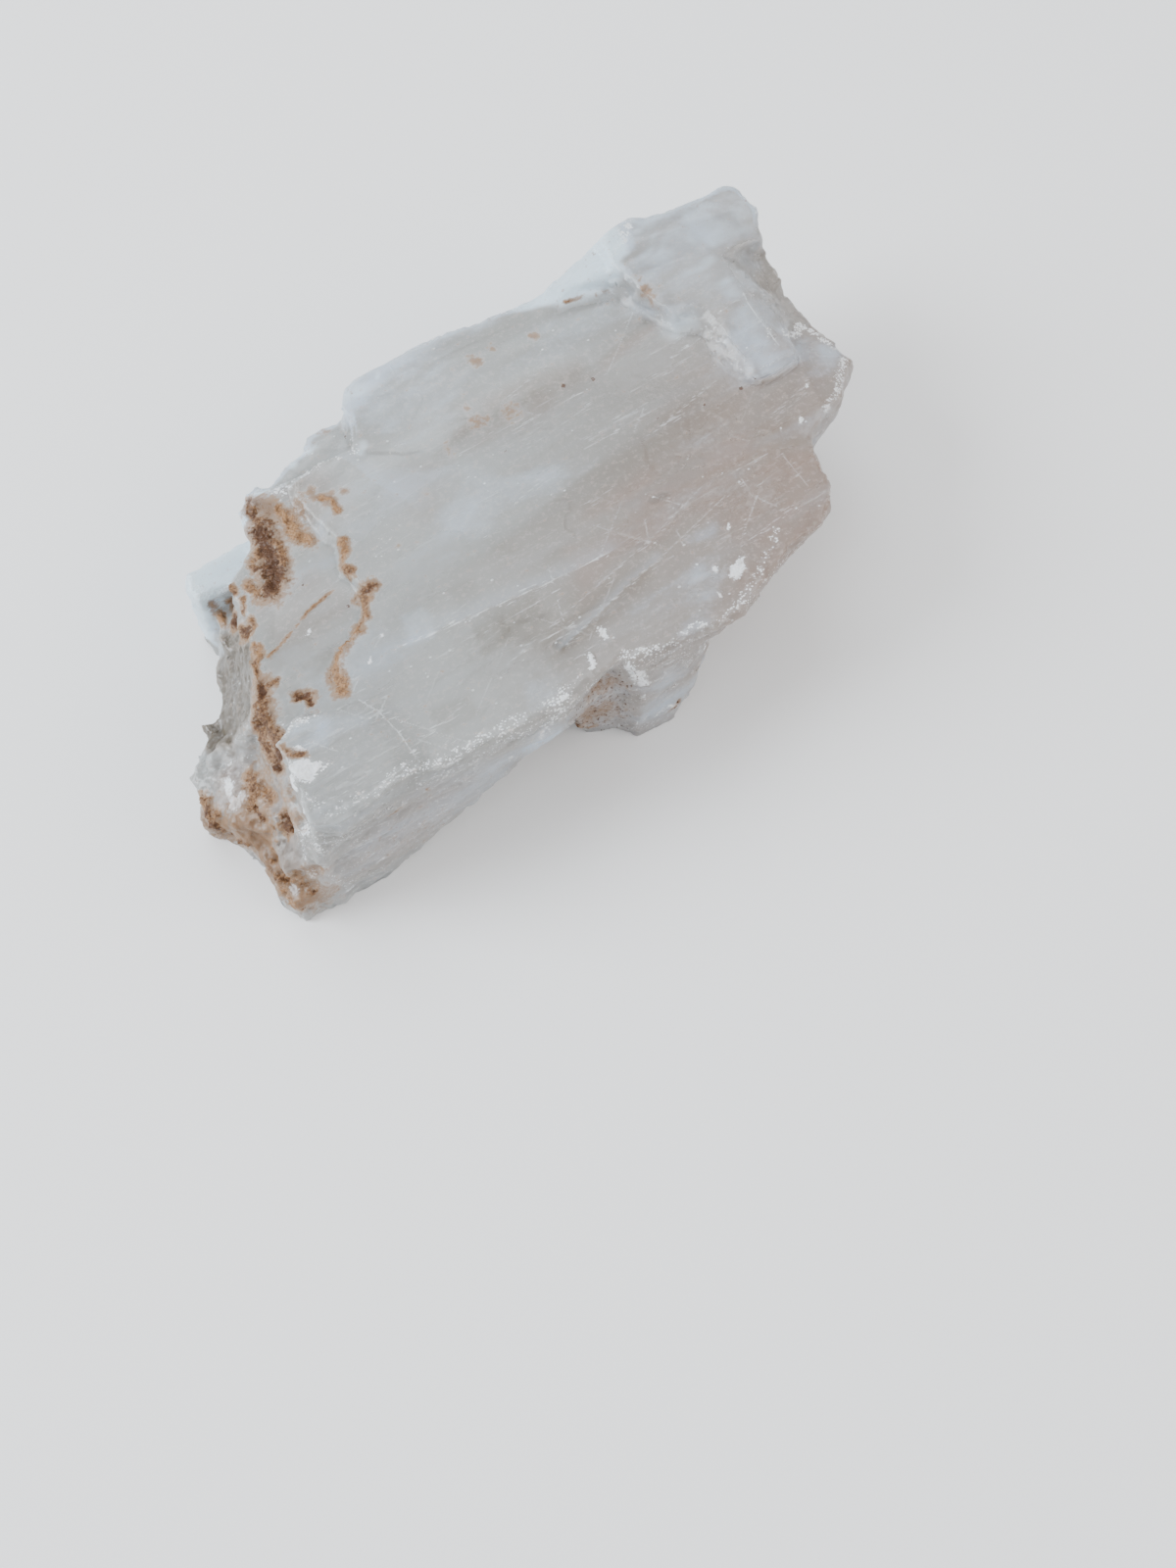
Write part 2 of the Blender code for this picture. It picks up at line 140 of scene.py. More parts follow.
# Faint rusty washes: radius, strength and place.
WASHES = (
    (1.5, 0.8, (8.4, 24, 24.3)), (1, 0.6, (11.2, 24.2, 24.3)), (1.5, 0.75, (17.8, 22.9, 24.3)),
    (1.3, 0.65, (3.2, 17.8, 24.3)), (1, 0.5, (-9.3, 8, 24)), (1.2, 0.85, (-21.2, 15.6, 24)),
    (1.2, 0.8, (-18.2, 14.5, 24)), (1, 0.6, (-18.9, 11.8, 24)), (1.2, 0.45, (-16.5, 3, 24)),
    (1.3, 0.4, (-12.6, 5.2, 24)), (2.6, 0.6, (3.6, 14.6, 24)), (2.6, 0.6, (8, 13.4, 24)),
    (2, 0.45, (-2.6, 12.6, 24)), (1.6, 0.4, (17, 13.6, 24)), (2, 0.4, (28, 16.1, 24)),
    (2, 0.55, (-15.2, 26.9, 21.2)), (3, 1.1, (-29.6, 20, 21.8)), (1.2, 1.1, (-26.8, 17.2, 22.4)),
    (1.2, 1, (-27, 15.4, 22.4)), (1.4, 1.1, (-27.1, 13.5, 22.4)), (1.6, 0.9, (-26.2, 11.3, 22.5)),
    (3, 1.25, (-30.6, 14.6, 22)), (3, 1.2, (-32.2, 9.6, 22.1)), (1.8, 0.8, (-35.8, 9, 21.3)),
    (2, 0.45, (-39.8, 12.6, 13.5)), (2, 0.6, (-40, 5, 19.5)), (2.6, 0.8, (-43.6, -9.5, 21)),
    (3, 0.8, (-48, -27.6, 12)), (7, 0.98, (-52, -17, 9)), (5.5, 1.1, (-55.5, -12, 4)),
    (6, 1.02, (-52.5, -21.5, 6)), (3.4, 0.95, (-28.6, 18.8, 22.2)), (2.4, 0.8, (-24.4, 16.4, 22.8)),
    (1.8, 0.95, (-20.6, 14.6, 24)), (1.4, 0.8, (-22.4, 16.6, 24)), (2.6, 0.65, (-28, 13, 22.4)),
    (1.6, 0.6, (-46.4, -7.7, 17.8)), (4.5, 0.7, (-47.1, -12.1, 14.5)), (5, 0.6, (-47, -19, 17.5)),
    (3, 0.85, (-46.8, -22.5, 17.5)), (1.6, 0.6, (-40, 3.8, 19.8)), (1.4, 0.6, (-38.4, -12.9, 24.4)),
    (3, 0.9, (-52.6, -26.5, 6)), (2.8, 1, (-48.7, -13, 12.4)), (2.2, 1, (-47.9, -21, 14.2)),
    (2.2, 1, (-52, -24.6, 7.2)), (1.3, 0.7, (-48.7, -29, 6.6)), (1.2, 0.7, (-50.2, -27.6, 8)),
    (1.6, 0.8, (34.2, 18.8, 27.9)), (1.4, 0.7, (34.5, 17, 27)), (1.2, 0.6, (34.2, 20.8, 28.6)),
    (7, 0.85, (-50.5, -27, 6)), (6.5, 0.7, (-2.8, -26, 7)), (5.5, 0.6, (-1.6, -27, 16)),
    (15, 0.34, (-36, -30, 9)), (3, 0.45, (-47.5, -19, 18)), (1.6, 0.6, (-23.2, 6.6, 23.9)),
    (1.6, 0.5, (-33.4, -11, 23.4)),
)

# White crumbs along broken edges: half the band's width, how thick they lie, and the edge.
CRUMB_EDGES = (
    (1.3, 0.5, ((-45.2, -24.5, 24.6), (-43.8, -27.2, 24.7), (-38.5, -27.8, 24.7), (-32.6, -27.4, 24.6))),
    (1.3, 0.62, ((-32.6, -27.4, 24.6), (-29, -28.2, 24), (-24.4, -28.6, 24), (-18.8, -28.2, 24),
        (-15.8, -28.6, 24))),
    (1.6, 0.52, ((-29.6, -28.9, 21.4), (-24.8, -29.3, 21.5), (-18.2, -29.4, 22.5), (-15.1, -29.5, 22))),
    (1.5, 0.36, ((-15.8, -28.6, 24), (-10.6, -28.4, 24), (-6, -27.6, 24), (-3.6, -26.6, 24))),
    (1.6, 0.8, ((-9.6, -29, 23.6), (-12, -29.5, 22.6), (-13.4, -29.7, 19.6))),
    (0.7, 0.6, ((-17, -29.6, 20.6), (-17.8, -28.5, 15.5), (-18.6, -28.4, 12.9))),
    (0.9, 0.66, ((0.2, -28, 24), (3.4, -29.4, 23.8), (5.8, -29.6, 23.8), (9.1, -29.6, 23.8),
        (11.6, -30, 23.4))),
    (1.2, 1, ((0.2, -29, 22.8), (1.3, -29.9, 20.6), (2, -30.4, 17.3))),
    (0.6, 0.6, ((2, -30.4, 17.3), (2.5, -29.9, 12.6))),
    (0.8, 0.72, ((11.3, -30.2, 23.4), (12, -30, 20), (12.4, -29.4, 15.8))),
    (0.6, 0.64, ((3.2, -30.2, 13.5), (4.5, -30.5, 16.6), (7.8, -30.4, 18), (9.5, -30.3, 19.5))),
    (0.8, 0.72, ((5.4, -29.8, 4), (6.4, -29.9, 4.4), (8.6, -29.9, 4))),
    (1, 0.58, ((13.5, -30.2, 23.8), (18.5, -29.5, 24), (23, -27, 24), (28.5, -23.5, 24))),
    (0.9, 0.4, ((39.4, 1.8, 24.7), (40.2, 0.6, 24.8), (42.6, -0.8, 25), (44.7, -0.6, 25.3))),
    (0.7, 0.45, ((45.4, 1.6, 25.6), (46.6, 5.5, 26))),
    (1, 0.8, ((48.4, 3.6, 25), (49.9, 3.2, 23.6), (52.4, 4.6, 22.8), (54, 2.6, 22), (55.2, -0.4, 21.2))),
    (1, 0.72, ((55.2, -3, 21), (52, -6, 22), (49.1, -8.4, 22.9), (46.1, -10.2, 23.6))),
    (1.1, 0.72, ((-30.6, 22.4, 21), (-27.8, 22.6, 21.4), (-26, 20.8, 22.4), (-24, 20.2, 22.8),
        (-20.5, 21.6, 22))),
    (1, 0.55, ((-20.5, 20, 23.6), (-16.9, 20.1, 24.1), (-13, 19.6, 24.4))),
    (2.2, 0.32, ((-24.6, 18, 24), (-20.8, 13.5, 24), (-20.2, 10, 24), (-21, 6.5, 24))),
    (1.6, 0.22, ((-27, 9.5, 22.5), (-25.5, 12.5, 22.5), (-25, 16, 22.6))),
    (1.6, 0.34, ((-16.4, 9.5, 24), (-16.4, 6.7, 24.1), (-19, 2.5, 24))),
    (1.1, 0.95, ((-42.4, 17.9, 16.8), (-43, 16.2, 16.6), (-42.6, 14.9, 16.5), (-41.5, 14.6, 16.3),
        (-40.2, 14.6, 16.4))),
    (1, 0.85, ((-40.2, 14.6, 16.4), (-38.9, 14.4, 16.7), (-37.3, 14.5, 16.8))),
    (0.5, 0.6, ((-42, 19.6, 16.4), (-38, 20, 16.8), (-32.6, 20.2, 16.9))),
    (1.2, 0.7, ((-43.6, -6.8, 21.2), (-43.6, -11, 23), (-43, -14.4, 24.4), (-39.5, -13.5, 24.6))),
    (1.1, 0.7, ((-45.3, -23.4, 24.2), (-46.3, -25, 20), (-47.8, -25.6, 15.4), (-48.7, -27.6, 10))),
    (0.8, 0.66, ((-46.5, -27.9, 20), (-47, -28.9, 14), (-45, -29.2, 3.5))),
    (1.1, 0.74, ((34.2, 20, 25.6), (35, 17.6, 25.2), (36.4, 15.4, 25), (35.8, 13.2, 24.6))),
    (0.9, 0.8, ((38.2, 29, 29.6), (35.6, 27, 29.6), (33.4, 25.8, 29))),
    (0.9, 0.6, ((-50.8, -6.2, 9.4), (-49.2, -7.6, 11), (-46.6, -8.6, 13.6))),
    (1.3, 0.6, ((-51.4, -28.2, 5), (-50, -28.8, 3))),
)

# White chips lying on the faces: half length, half width, turn from +X in degrees, and place.
CHIPS = (
    (2, 1.5, -80, (-43.8, -20.2, 24.4)), (2, 0.7, -20, (-42.2, -20.8, 24.7)),
    (1.6, 1.1, -80, (-45.2, -19.8, 22)), (0.9, 0.5, -30, (-42.8, -17.2, 24.7)),
    (1.5, 1, 20, (-52, -10.6, 9.8)), (1, 0.9, 40, (20.2, -25.1, 24)), (1.4, 0.6, 20, (20.8, -24.5, 24)),
    (0.7, 0.4, 40, (17.6, -23.7, 24)), (0.5, 0.35, 30, (16.1, -21.8, 24)),
    (0.9, 0.4, 70, (16.2, -27.3, 24)), (1.6, 0.5, 75, (-0.1, -23.9, 24)), (1.9, 0.6, 70, (-3.9, -26.4, 24)),
    (1.1, 0.35, 35, (23.5, -18.8, 24)), (1, 0.35, 60, (41.9, -9.4, 24)), (0.9, 0.3, 75, (39, -9.5, 24)),
    (0.6, 0.3, 65, (46.4, -5.6, 24)), (1.3, 1, 60, (-52.1, -9.8, 9.7)), (1.3, 1, 60, (-52.4, -12.6, 9.9)),
    (1.2, 0.7, 10, (-50.9, -12.4, 10.9)), (1.4, 0.35, 10, (-34, -28.9, 13.8)),
    (1.6, 0.3, 8, (-39.6, -29, 7)), (1.4, 0.35, 10, (-42.5, -28.8, 12.9)), (1.2, 0.35, 60, (-31, -29, 9.3)),
    (1.2, 0.8, 20, (36.2, 15.6, 24.6)), (1, 0.5, 10, (-9, 20.6, 24.6)), (0.4, 0.2, 0, (-2.7, 7.1, 24)),
    (0.4, 0.2, 20, (1.9, 6, 24)), (1.2, 0.9, 50, (-51.2, -26.9, 7.2)), (1, 0.35, 8, (-45, -29.3, 3)),
    (0.8, 0.4, 30, (-33, -1.5, 22.2)), (0.7, 0.35, 60, (-28.4, -10, 24)), (0.6, 0.3, 40, (-24.9, -8.4, 24)),
)

# Edges where one sheet inside the crystal ends: how much paler it is on the left of the way the
# line runs (darker where negative), how far that fades, and the line.
FLASHES = (
    (-0.35, 9, ((34, 2.2), (24.1, 1.2), (16, -0.2), (8, -1.6), (2.4, -2.9))),
    (0.4, 2.2, ((-5.3, -22.5), (5.5, -19.6), (12.3, -18.2))),
    (0.12, 1.4, ((3.6, -16.9), (13.2, -14.9), (26, -11.5))),
    (0.35, 4, ((-24.5, -10.8), (-11.5, -12.3), (7.4, -13.6))),
    # This line runs along the foot of the far sheet's step, and the face on its near side is painted darker.
    (-0.5, 2.4, ((34, 17.2), (22.2, 14.2), (16.6, 14.8), (8.3, 14.6), (2, 14.7), (-4, 13.4))),
    (0.4, 5, ((-16, 20), (-14, 14), (-12, 9))),
    (0.12, 3.5, ((-12, -24), (-4, -22), (4, -21.5))),
    (-0.35, 3, ((30, -6), (18, -7.5), (6, -9.2))),
)

# Cracks in the main face: how white each is, and the points it runs through.
CRACKS = (
    (1, ((-24.5, -10.8), (-20.2, -11.6), (-11.5, -12.3), (-2.3, -13.2), (0.5, -13.3), (7.4, -13.6))),
    (0.8, ((-13.5, -20.9), (-9.8, -20.1), (-4.3, -20.4), (-2.7, -20.7))),
    (0.4, ((-5.3, -22.5), (5.5, -19.6), (12.3, -18.2), (26, -14.5))),
    (0.4, ((3.6, -16.9), (13.2, -14.9), (24, -11.5))),
    (0.5, ((-2.6, -16.1), (-3.8, -19.8))),
    (0.5, ((14.2, -12.1), (12.6, -15.5))),
    (0.4, ((17.1, -15.4), (16.4, -18.4))),
    (0.5, ((-0.8, -10.8), (-1.7, -13.6))),
    (0.5, ((29.5, -12.5), (29, -16.5), (31, -20))),
    (0.5, ((36.5, -13.5), (36.5, -19.5))),
    (0.7, ((-32.6, -15), (-31.3, -18), (-30.6, -22), (-30.4, -27.6))),
    (0.8, ((47.7, 18.1), (46.9, 13.3), (46.1, 9.9), (45.9, 6), (46.1, 1.5))),
)

# Cracks along the near wall: how white each is, and its points, each by x and z.
WALL_CRACKS = (
    (0.8, ((-47.1, 14.3), (-44.2, 12.8), (-40.3, 12.7), (-39, 13.2), (-36.2, 14.5), (-33.1, 15))),
    (0.6, ((-47.5, 10.9), (-46.1, 12), (-43.8, 11.4), (-42.6, 12.6))),
    (0.7, ((-42.5, 5.5), (-39.8, 7.2), (-36.4, 9.4), (-33, 10.2))),
    (0.7, ((-38, 16.2), (-33.2, 18.5), (-28, 19.6))),
    (0.5, ((-27.6, 5.9), (-25.3, 10.9), (-22.8, 12.8), (-19, 14))),
    (0.5, ((-24, 20), (-18, 19.6), (-12, 20.4))),
)

# Places where a sharp groove or hollow has healed smooth: how far the smoothing reaches, how
# many rounds of it, and the line it runs along.
HEALED = (
    (4, 60, ((35.9, 12.9, 25), (37.5, 12.3, 25.5), (39.2, 11.6, 26.2))),
    (5, 220, ((-37, -11.5, 24), (-34, -13, 24.2), (-31.6, -17, 24.2), (-30.8, -22, 24.2),
        (-30.6, -25, 24.2))),
    (3.6, 150, ((21, 26.4, 24.6), (26, 25.2, 24.9), (30, 24.6, 25), (32.5, 23.6, 26))),
    (3, 70, ((-4, 13.8, 24.1), (2, 14.5, 24.1), (9, 15, 24.1), (16.5, 14.7, 24.1), (22.5, 15.8, 24.1),
        (30, 17, 24.1), (33, 18.8, 24.1))),
)

# Outlines that two tones share, seen from above.
DULL_PATCH = ((9, -14), (15, -9.5), (23, -7), (27, -8), (25, -12), (19, -15), (12, -16.5))
BLOCK = ((-45, 21.5), (-30.8, 21.5), (-31.5, 17.8), (-37.8, 14.3), (-45, 14))
TAN_BAND = ((-3, 13.8), (1, 18), (8, 17), (20, 15.5), (22, 12), (15, 11.5), (7.5, 10), (0.5, 10.5))
LUMP = ((-58, -9), (-54, -10.5), (-50.5, -13), (-48.5, -18), (-48.5, -24), (-50, -31), (-58, -31))
HOLLOW = ((-54, 5), (-44, 10.6), (-39.4, 10.2), (-38.9, 5), (-40.2, 1), (-44, -6), (-47, -7), (-52, -3))

# Zones of tone inside the crystal, seen from above: the strength, how soft the edge is, and the
# outline. Haze is pale blue, pale is blue white, clear a darker olive grey and blush a pink brown.
# The haze tone is partly the crystal's cloudy veils and partly painted light:
# a cool tint on the far left of the top face, and a painted sheen on the far rim, the block top and the far
# slope.
ZONES = {"haze": (
    (0.25, 2.2, ((-11, 28), (-3, 31), (7, 31), (8, 26), (2, 24), (1.5, 19), (-2, 16.5), (-11, 19),
        (-14, 22))),
    (0.45, 2.6, ((-2.5, 10.5), (4, 5.5), (13, 0.5), (10, -1.5), (0, -2.5), (-7.5, -1.5), (-11.5, 2.5),
        (-6.5, 7))),
    (0.5, 0.8, ((-21.5, -7), (-18.5, -7), (-17.5, -9.5), (-19.5, -12), (-23, -11))),
    (0.5, 1, ((-13, -23), (-8, -23), (-7, -26.5), (-11, -30), (-15.5, -28.5))),
    (0.6, 1.6, ((17.5, -17.5), (23.5, -17), (23.5, -21), (19, -23), (15.5, -22.5))),
    (0.6, 2.2, ((3, -22), (9.5, -21), (17, -20.5), (18, -25), (14, -29), (9, -30), (2.5, -30))),
    (0.35, 2.5, ((8, 27), (30, 24), (33, 19), (20, 17.5), (6, 19))),
    (0.5, 1.5, ((47, 20), (54, 22), (56, 19), (52, 15), (48, 16))),
    (0.35, 1.4, ((-37, -15), (-31.5, -18), (-31.5, -24.5), (-37, -26), (-42, -22.5))),
    (0.7, 1.2, ((-42.5, -13), (-37.5, -14.5), (-39, -19.5), (-44.5, -19))),
    (0.6, 1.3, ((47.3, 18.5), (46.8, 13.3), (46, 9.9), (45.8, 6), (46, 1.5), (44, -0.6), (42, 0.2),
        (41.6, 3), (41.4, 6), (42.2, 9), (43.4, 12), (45.4, 16.5))),
    (0.45, 2.4, ((47, 16), (46, 9.9), (46, 1.5), (43, -1.8), (40.4, -0.6), (39.3, 1.6), (38.9, 5),
        (39.6, 8.5), (40.1, 10.6), (43, 14))),
    (0.45, 1.2, ((47.7, 18), (46.8, 13.3), (46, 9.9), (45.8, 6), (46.1, 1.5), (49, 2), (52, 8),
        (49.6, 14.8))),
    (0.6, 2, ((36, 24), (40, 31), (56, 30), (57, 24), (50, 20), (44, 20))),
    (0.6, 1.5, ((36, 30), (47.5, 28), (46, 18.5), (42, 11), (34, 13), (33, 25))),
    (0.08, 1.2, ((-32, 8.5), (-24, 6), (-26, 1.5), (-32, 1), (-36.5, 2), (-36.5, 5.5))),
    # Painted highlight of the cool light along the far rim's bevel.
    (0.9, 1.4, ((-12.5, 24), (-12, 29), (-9, 32), (8, 33), (20, 31), (19, 28), (8, 28.5), (-3, 28.5),
        (-9, 25.5))),
    (0.4, 2.5, ((-9, 26), (-4, 29), (5, 29), (6, 22), (1, 16), (-6, 15), (-8, 19))),
    (0.25, 3, ((-15, 13), (-9, 15), (-1, 10), (-2, 3), (-10, 0), (-17, 4))),
    (0.3, 2.2, ((-10, 26), (8, 28), (14, 22), (4, 18), (-8, 17), (-12, 20))),
    # These two are the painted sheen of the cool light on the block top, and below it on the far slope.
    (1, 0.4, BLOCK),
    (1, 0.6, ((16, 31), (40, 33), (36.5, 25), (33, 24.4), (24.5, 25.8), (18.5, 28))),
    (0.6, 1.5, ((43, 0), (52, 4), (56, -1), (52, -5), (45, -6))),
), "pale": (
    # Pale is painted light: the sheen of the cool light on faces that lean towards it, on the far rim, the
    # block top, the far slope and the raised layer.
    (0.3, 1.2, ((-12.5, 26), (-12, 29), (-9, 32), (8, 33), (20, 31), (19, 29), (8, 29.7), (-3, 30),
        (-9, 28))),
    (0.8, 0.4, BLOCK),
    (0.85, 0.6, ((16, 31), (37, 33), (35.5, 25), (33, 24.4), (24.5, 25.8), (18.5, 28))),
    (0.2, 1.8, ((36, 24), (38, 31), (56, 30), (57, 24), (50, 19), (47, 12), (46, 9), (44, 13), (40, 20))),
    # Painted light that fills the shade in the crease at the foot of the far slope.
    (0.8, 0.8, ((22, 27), (24, 25), (28, 24), (33, 23), (34, 26), (26, 27.5), (22, 28.5))),
), "clear": (
    (0.5, 1.5, ((-13.5, 17), (-12.6, 24), (-9, 27), (-3, 26), (-2, 22), (-7, 18))),
    (0.3, 3, ((-22, -8), (-12, -2), (4, -4), (20, -5), (26, -8), (24, -16), (10, -20), (-4, -26),
        (-14, -25))),
    (0.85, 1.2, DULL_PATCH),
    (0.4, 3, ((12, -3), (28, 0), (46, 0), (50, -6), (40, -14), (36, -24), (26, -22), (24, -14), (12, -8))),
    (0.65, 1.5, ((-31, 21), (-24, 20.5), (-20, 18), (-19.5, 12), (-24, 8), (-29, 9), (-31, 14))),
    (0.6, 2, TAN_BAND),
    (0.5, 2, ((-5, -3), (12.5, 0), (22, -0.5), (34, 1.5), (42, -0.5), (43, -5), (34, -6), (20, -6),
        (10, -6), (-6, -9.5))),
    (0.35, 0.7, ((-14, -6.5), (-10.5, -7), (-11, -10.5), (-15, -11.5))),
    (0.55, 0.5, ((-14.5, -13), (-9.5, -13.5), (-11.5, -18), (-15.5, -18.5))),
    (0.7, 0.9, ((-10, -12.7), (-4.5, -13.2), (-4.5, -17.5), (-9, -19.5), (-12.5, -17.5))),
    (0.45, 0.6, ((-26, -21), (-20, -22), (-20, -25.5), (-25.5, -25.5))),
    (0.6, 1.4, ((1.5, -14.5), (10.5, -13), (14, -17), (6.5, -19.5), (-0.5, -20.5))),
    (0.6, 3, ((-6, -9.5), (10, -6), (8, -13.5), (-4, -13.2))),
    (0.75, 1, ((-8, -20.5), (4, -17.5), (12, -17.2), (10, -20.5), (3, -22), (-3, -24), (-7, -23.5))),
    (0.5, 0.3, ((47.7, 18.3), (50.4, 19.4), (56, 22.5), (58, 22), (56, 9), (52, 10), (49.7, 14))),
    (0.12, 1.2, ((49.5, 3.5), (56, -2), (51, -9), (44, -10), (45, -2))),
    (0.93, 1, LUMP),
    (0.3, 2, ((14, -20), (24, -18), (32, -16), (36, -22), (28, -26), (16, -31))),
    (0.45, 1.5, ((38, -8), (46, -6), (50, -8), (46, -13), (41, -15), (38, -13))),
    # Painted shade: the hollow at the left end lies in shade, and the clear and deep tones paint it dark.
    (1, 0.8, HOLLOW),
    (0.7, 1.5, ((-12, -19.5), (-3, -19), (-1, -23), (-6, -26), (-12, -24))),
    (0.45, 2.5, ((27, -7), (40, -8), (42, -14), (36, -18), (28, -14))),
    (0.8, 1.6, ((-12, -13.4), (2, -14), (0, -20), (-8, -21.5), (-13, -19))),
    (0.5, 2, ((-38, 2.5), (-26, 1), (-25.5, -4), (-31, -7), (-35, -9), (-42, -10), (-42, -3))),
), "blush": (
    (0.65, 1.2, DULL_PATCH),
    (0.35, 2.5, ((22, 3), (36, 8), (50, 3), (52, -6), (42, -12), (30, -8))),
    (0.3, 1.5, ((-38, 6), (-27, 8), (-25, 0), (-30, -5), (-38, -3))),
    (0.45, 2.2, TAN_BAND),
    (0.6, 1, LUMP),
    (0.4, 0.8, HOLLOW),
    (0.85, 2.2, ((7.5, -5.5), (20.5, -4), (34, -5.5), (34, -10), (41, -16), (40, -24), (27.5, -28),
        (16, -34), (14, -28), (22.5, -23), (24, -19), (20.5, -15), (13.5, -14), (4, -16), (0, -17),
        (2, -10))),
    (0.75, 1.5, ((31, -13), (42, -16), (40, -25), (25, -30), (24.5, -22), (27, -17))),
    (0.6, 0.9, ((14, -12.3), (17.8, -11.6), (17.8, -14.4), (14, -15.2))),
    (0.2, 1.4, ((50, 3.5), (57, -3), (51, -9), (45, -8), (45, -2))),
    (0.3, 3, ((-11, 14), (-4.5, 11.5), (-5.5, 7.5), (-10.5, 4), (-14, 8.5))),
    (0.45, 0.7, ((23, 14), (29, 15.5), (34, 16), (33.5, 14.5), (28, 13.5), (23.5, 12.5))),
    (0.4, 2, ((-29, 21), (-19, 19), (-18, 12), (-21, 10), (-28, 13))),
)}

# Tone deeper down on the walls, in the same words: strength, radii and place.
WALL_TONES = {"haze": (
    (0.5, (5, 3, 5), (-14.5, -30, 21)), (0.35, (8, 4, 16), (8, -30, 12)),
    (0.15, (7, 5, 15), (-2, -26.5, 13)), (0.4, (32, 5, 16), (-30, -30, 11)),
), "pale": (
    # Painted light: the first two lift the shade on the block's near face and in the groove at the raised
    # layer's left edge, and the rest are painted highlights along the far edge.
    (0.6, (2.6, 1.4, 2.2), (-41.2, 14.2, 14.4)), (0.6, (4, 3, 3), (36.5, 12.8, 25.5)),
    (0.9, (1.7, 1.2, 1.4), (-12.5, 19.8, 24.1)), (0.9, (1.5, 1, 1.3), (-16, 21.8, 22.4)),
    (0.7, (2.2, 0.9, 1.2), (-18.5, 24.9, 21.3)), (0.8, (1.5, 0.9, 1), (-21.8, 24.2, 21.3)),
    (0.8, (3.2, 1.2, 1.4), (-27.8, 22.4, 21.4)), (1, (0.8, 0.7, 0.8), (-4.3, 29.2, 24.3)),
    (0.4, (3.5, 2, 1.8), (-8, 28.2, 24.2)),
), "clear": (
    (0.9, (6, 13, 14), (-48, -17, 14)), (0.6, (2.5, 5, 6), (-43.3, 16.5, 3)),
    (0.7, (4, 4, 3), (-49, -6.4, 11)), (0.15, (16, 4, 7), (-20, -31, 15)), (0.6, (9, 7, 8), (-51, -17, 6)),
    (0.9, (7, 12, 7), (-53, -17, 8)), (0.7, (1.6, 0.6, 1), (-13.3, 22.6, 21.5)),
), "blush": (
    (0.6, (6, 14, 14), (-48, -17, 13)), (0.7, (6, 6, 6), (-51, -9, 10)),
    (0.55, (34, 6, 15), (-31, -30, 12)), (0.2, (16, 4, 10), (-37, -30, 8)),
    (0.3, (8, 5, 17), (-3.5, -26.5, 11)), (0.25, (12, 4, 5), (-34, -30, 17)),
    (1, (9, 12, 10), (-52.5, -17, 7)),
)}

# Dark specks in the main face, seen from above: radius and place.
DARK_SPECKS = (
    (0.45, (39.2, 9.6)), (0.6, (40.2, -0.9)), (0.5, (38.1, -0.6)), (0.3, (32, -0.2)), (0.25, (27.8, -2.8)),
    (0.5, (16.9, 13.4)), (0.45, (21.1, 12.1)), (0.3, (25.2, 1.4)), (0.6, (-12.9, 24.2)), (0.4, (-26.6, -1)),
    (0.35, (-31, 8.6)), (0.3, (-30.1, 5.4)), (0.3, (4, 8.2)),
)

# The crystal is a little warmer on the near side of this line, seen from above.
TONE_STEP = ((-30, -8), (-5.8, -4.4), (2.4, -2.9), (8, -1.6), (16, -0.2), (24.1, 1.2), (34, 2.2))


# --------------------------------------------------
# Noise and distances on arrays of points
# --------------------------------------------------

def cell_value(cells, seed):
    """A fixed random number from -1 to 1 for each cell, given by three whole numbers."""
    mixed = cells[..., 0] * 73856093 ^ cells[..., 1] * 19349663 ^ cells[..., 2] * 83492791
    mixed = (mixed ^ (seed * 40503)) & 0xFFFFFFFF
    for _ in range(2):
        mixed = (((mixed >> 16) ^ mixed) * 0x45D9F3B) & 0xFFFFFFFF
    mixed = (mixed >> 16) ^ mixed
    return mixed / 0x7FFFFFFF - 1.0


def value_noise(points, size, seed=0):
    """Smooth noise from -1 to 1; size is one length, or one for each axis."""
    scaled = points / np.asarray(size, float)
    low = np.floor(scaled).astype(np.int64)
    part = scaled - low
    part = part * part * (3 - 2 * part)
    total = np.zeros(len(points))
    for corner in np.ndindex(2, 2, 2):
        share = np.prod(np.where(corner, part, 1 - part), axis=1)
        total += share * cell_value(low + np.array(corner), seed)
    return total


def rough_noise(points, size, octaves, seed=0):
    """Value noise with finer and fainter copies added."""
    size = np.asarray(size, float)
    total = np.zeros(len(points))
    for octave in range(octaves):
        total += 0.5 ** octave * value_noise(points, size / 2.0 ** octave, seed + octave)
    return total


def grain_distance(points, size, seed=0):
    """Distance to the nearest of the points scattered one to a cell, as a share of the size."""
    scaled = points / np.asarray(size, float)
    low = np.floor(scaled).astype(np.int64)
    nearest = np.full(len(points), FAR)
    for corner in np.ndindex(3, 3, 3):
        cells = low + np.array(corner) - 1
        seat = np.stack([cell_value(cells, seed + axis) for axis in range(3)], axis=1)
        gap = np.linalg.norm(cells + 0.5 + 0.4 * seat - scaled, axis=1)
        nearest = np.minimum(nearest, gap)
    return nearest


def smooth_step(value, start, end):
    """0 before start, 1 after end, smooth between; start may be the larger."""
    share = np.clip((value - start) / (end - start), 0, 1)
    return share * share * (3 - 2 * share)


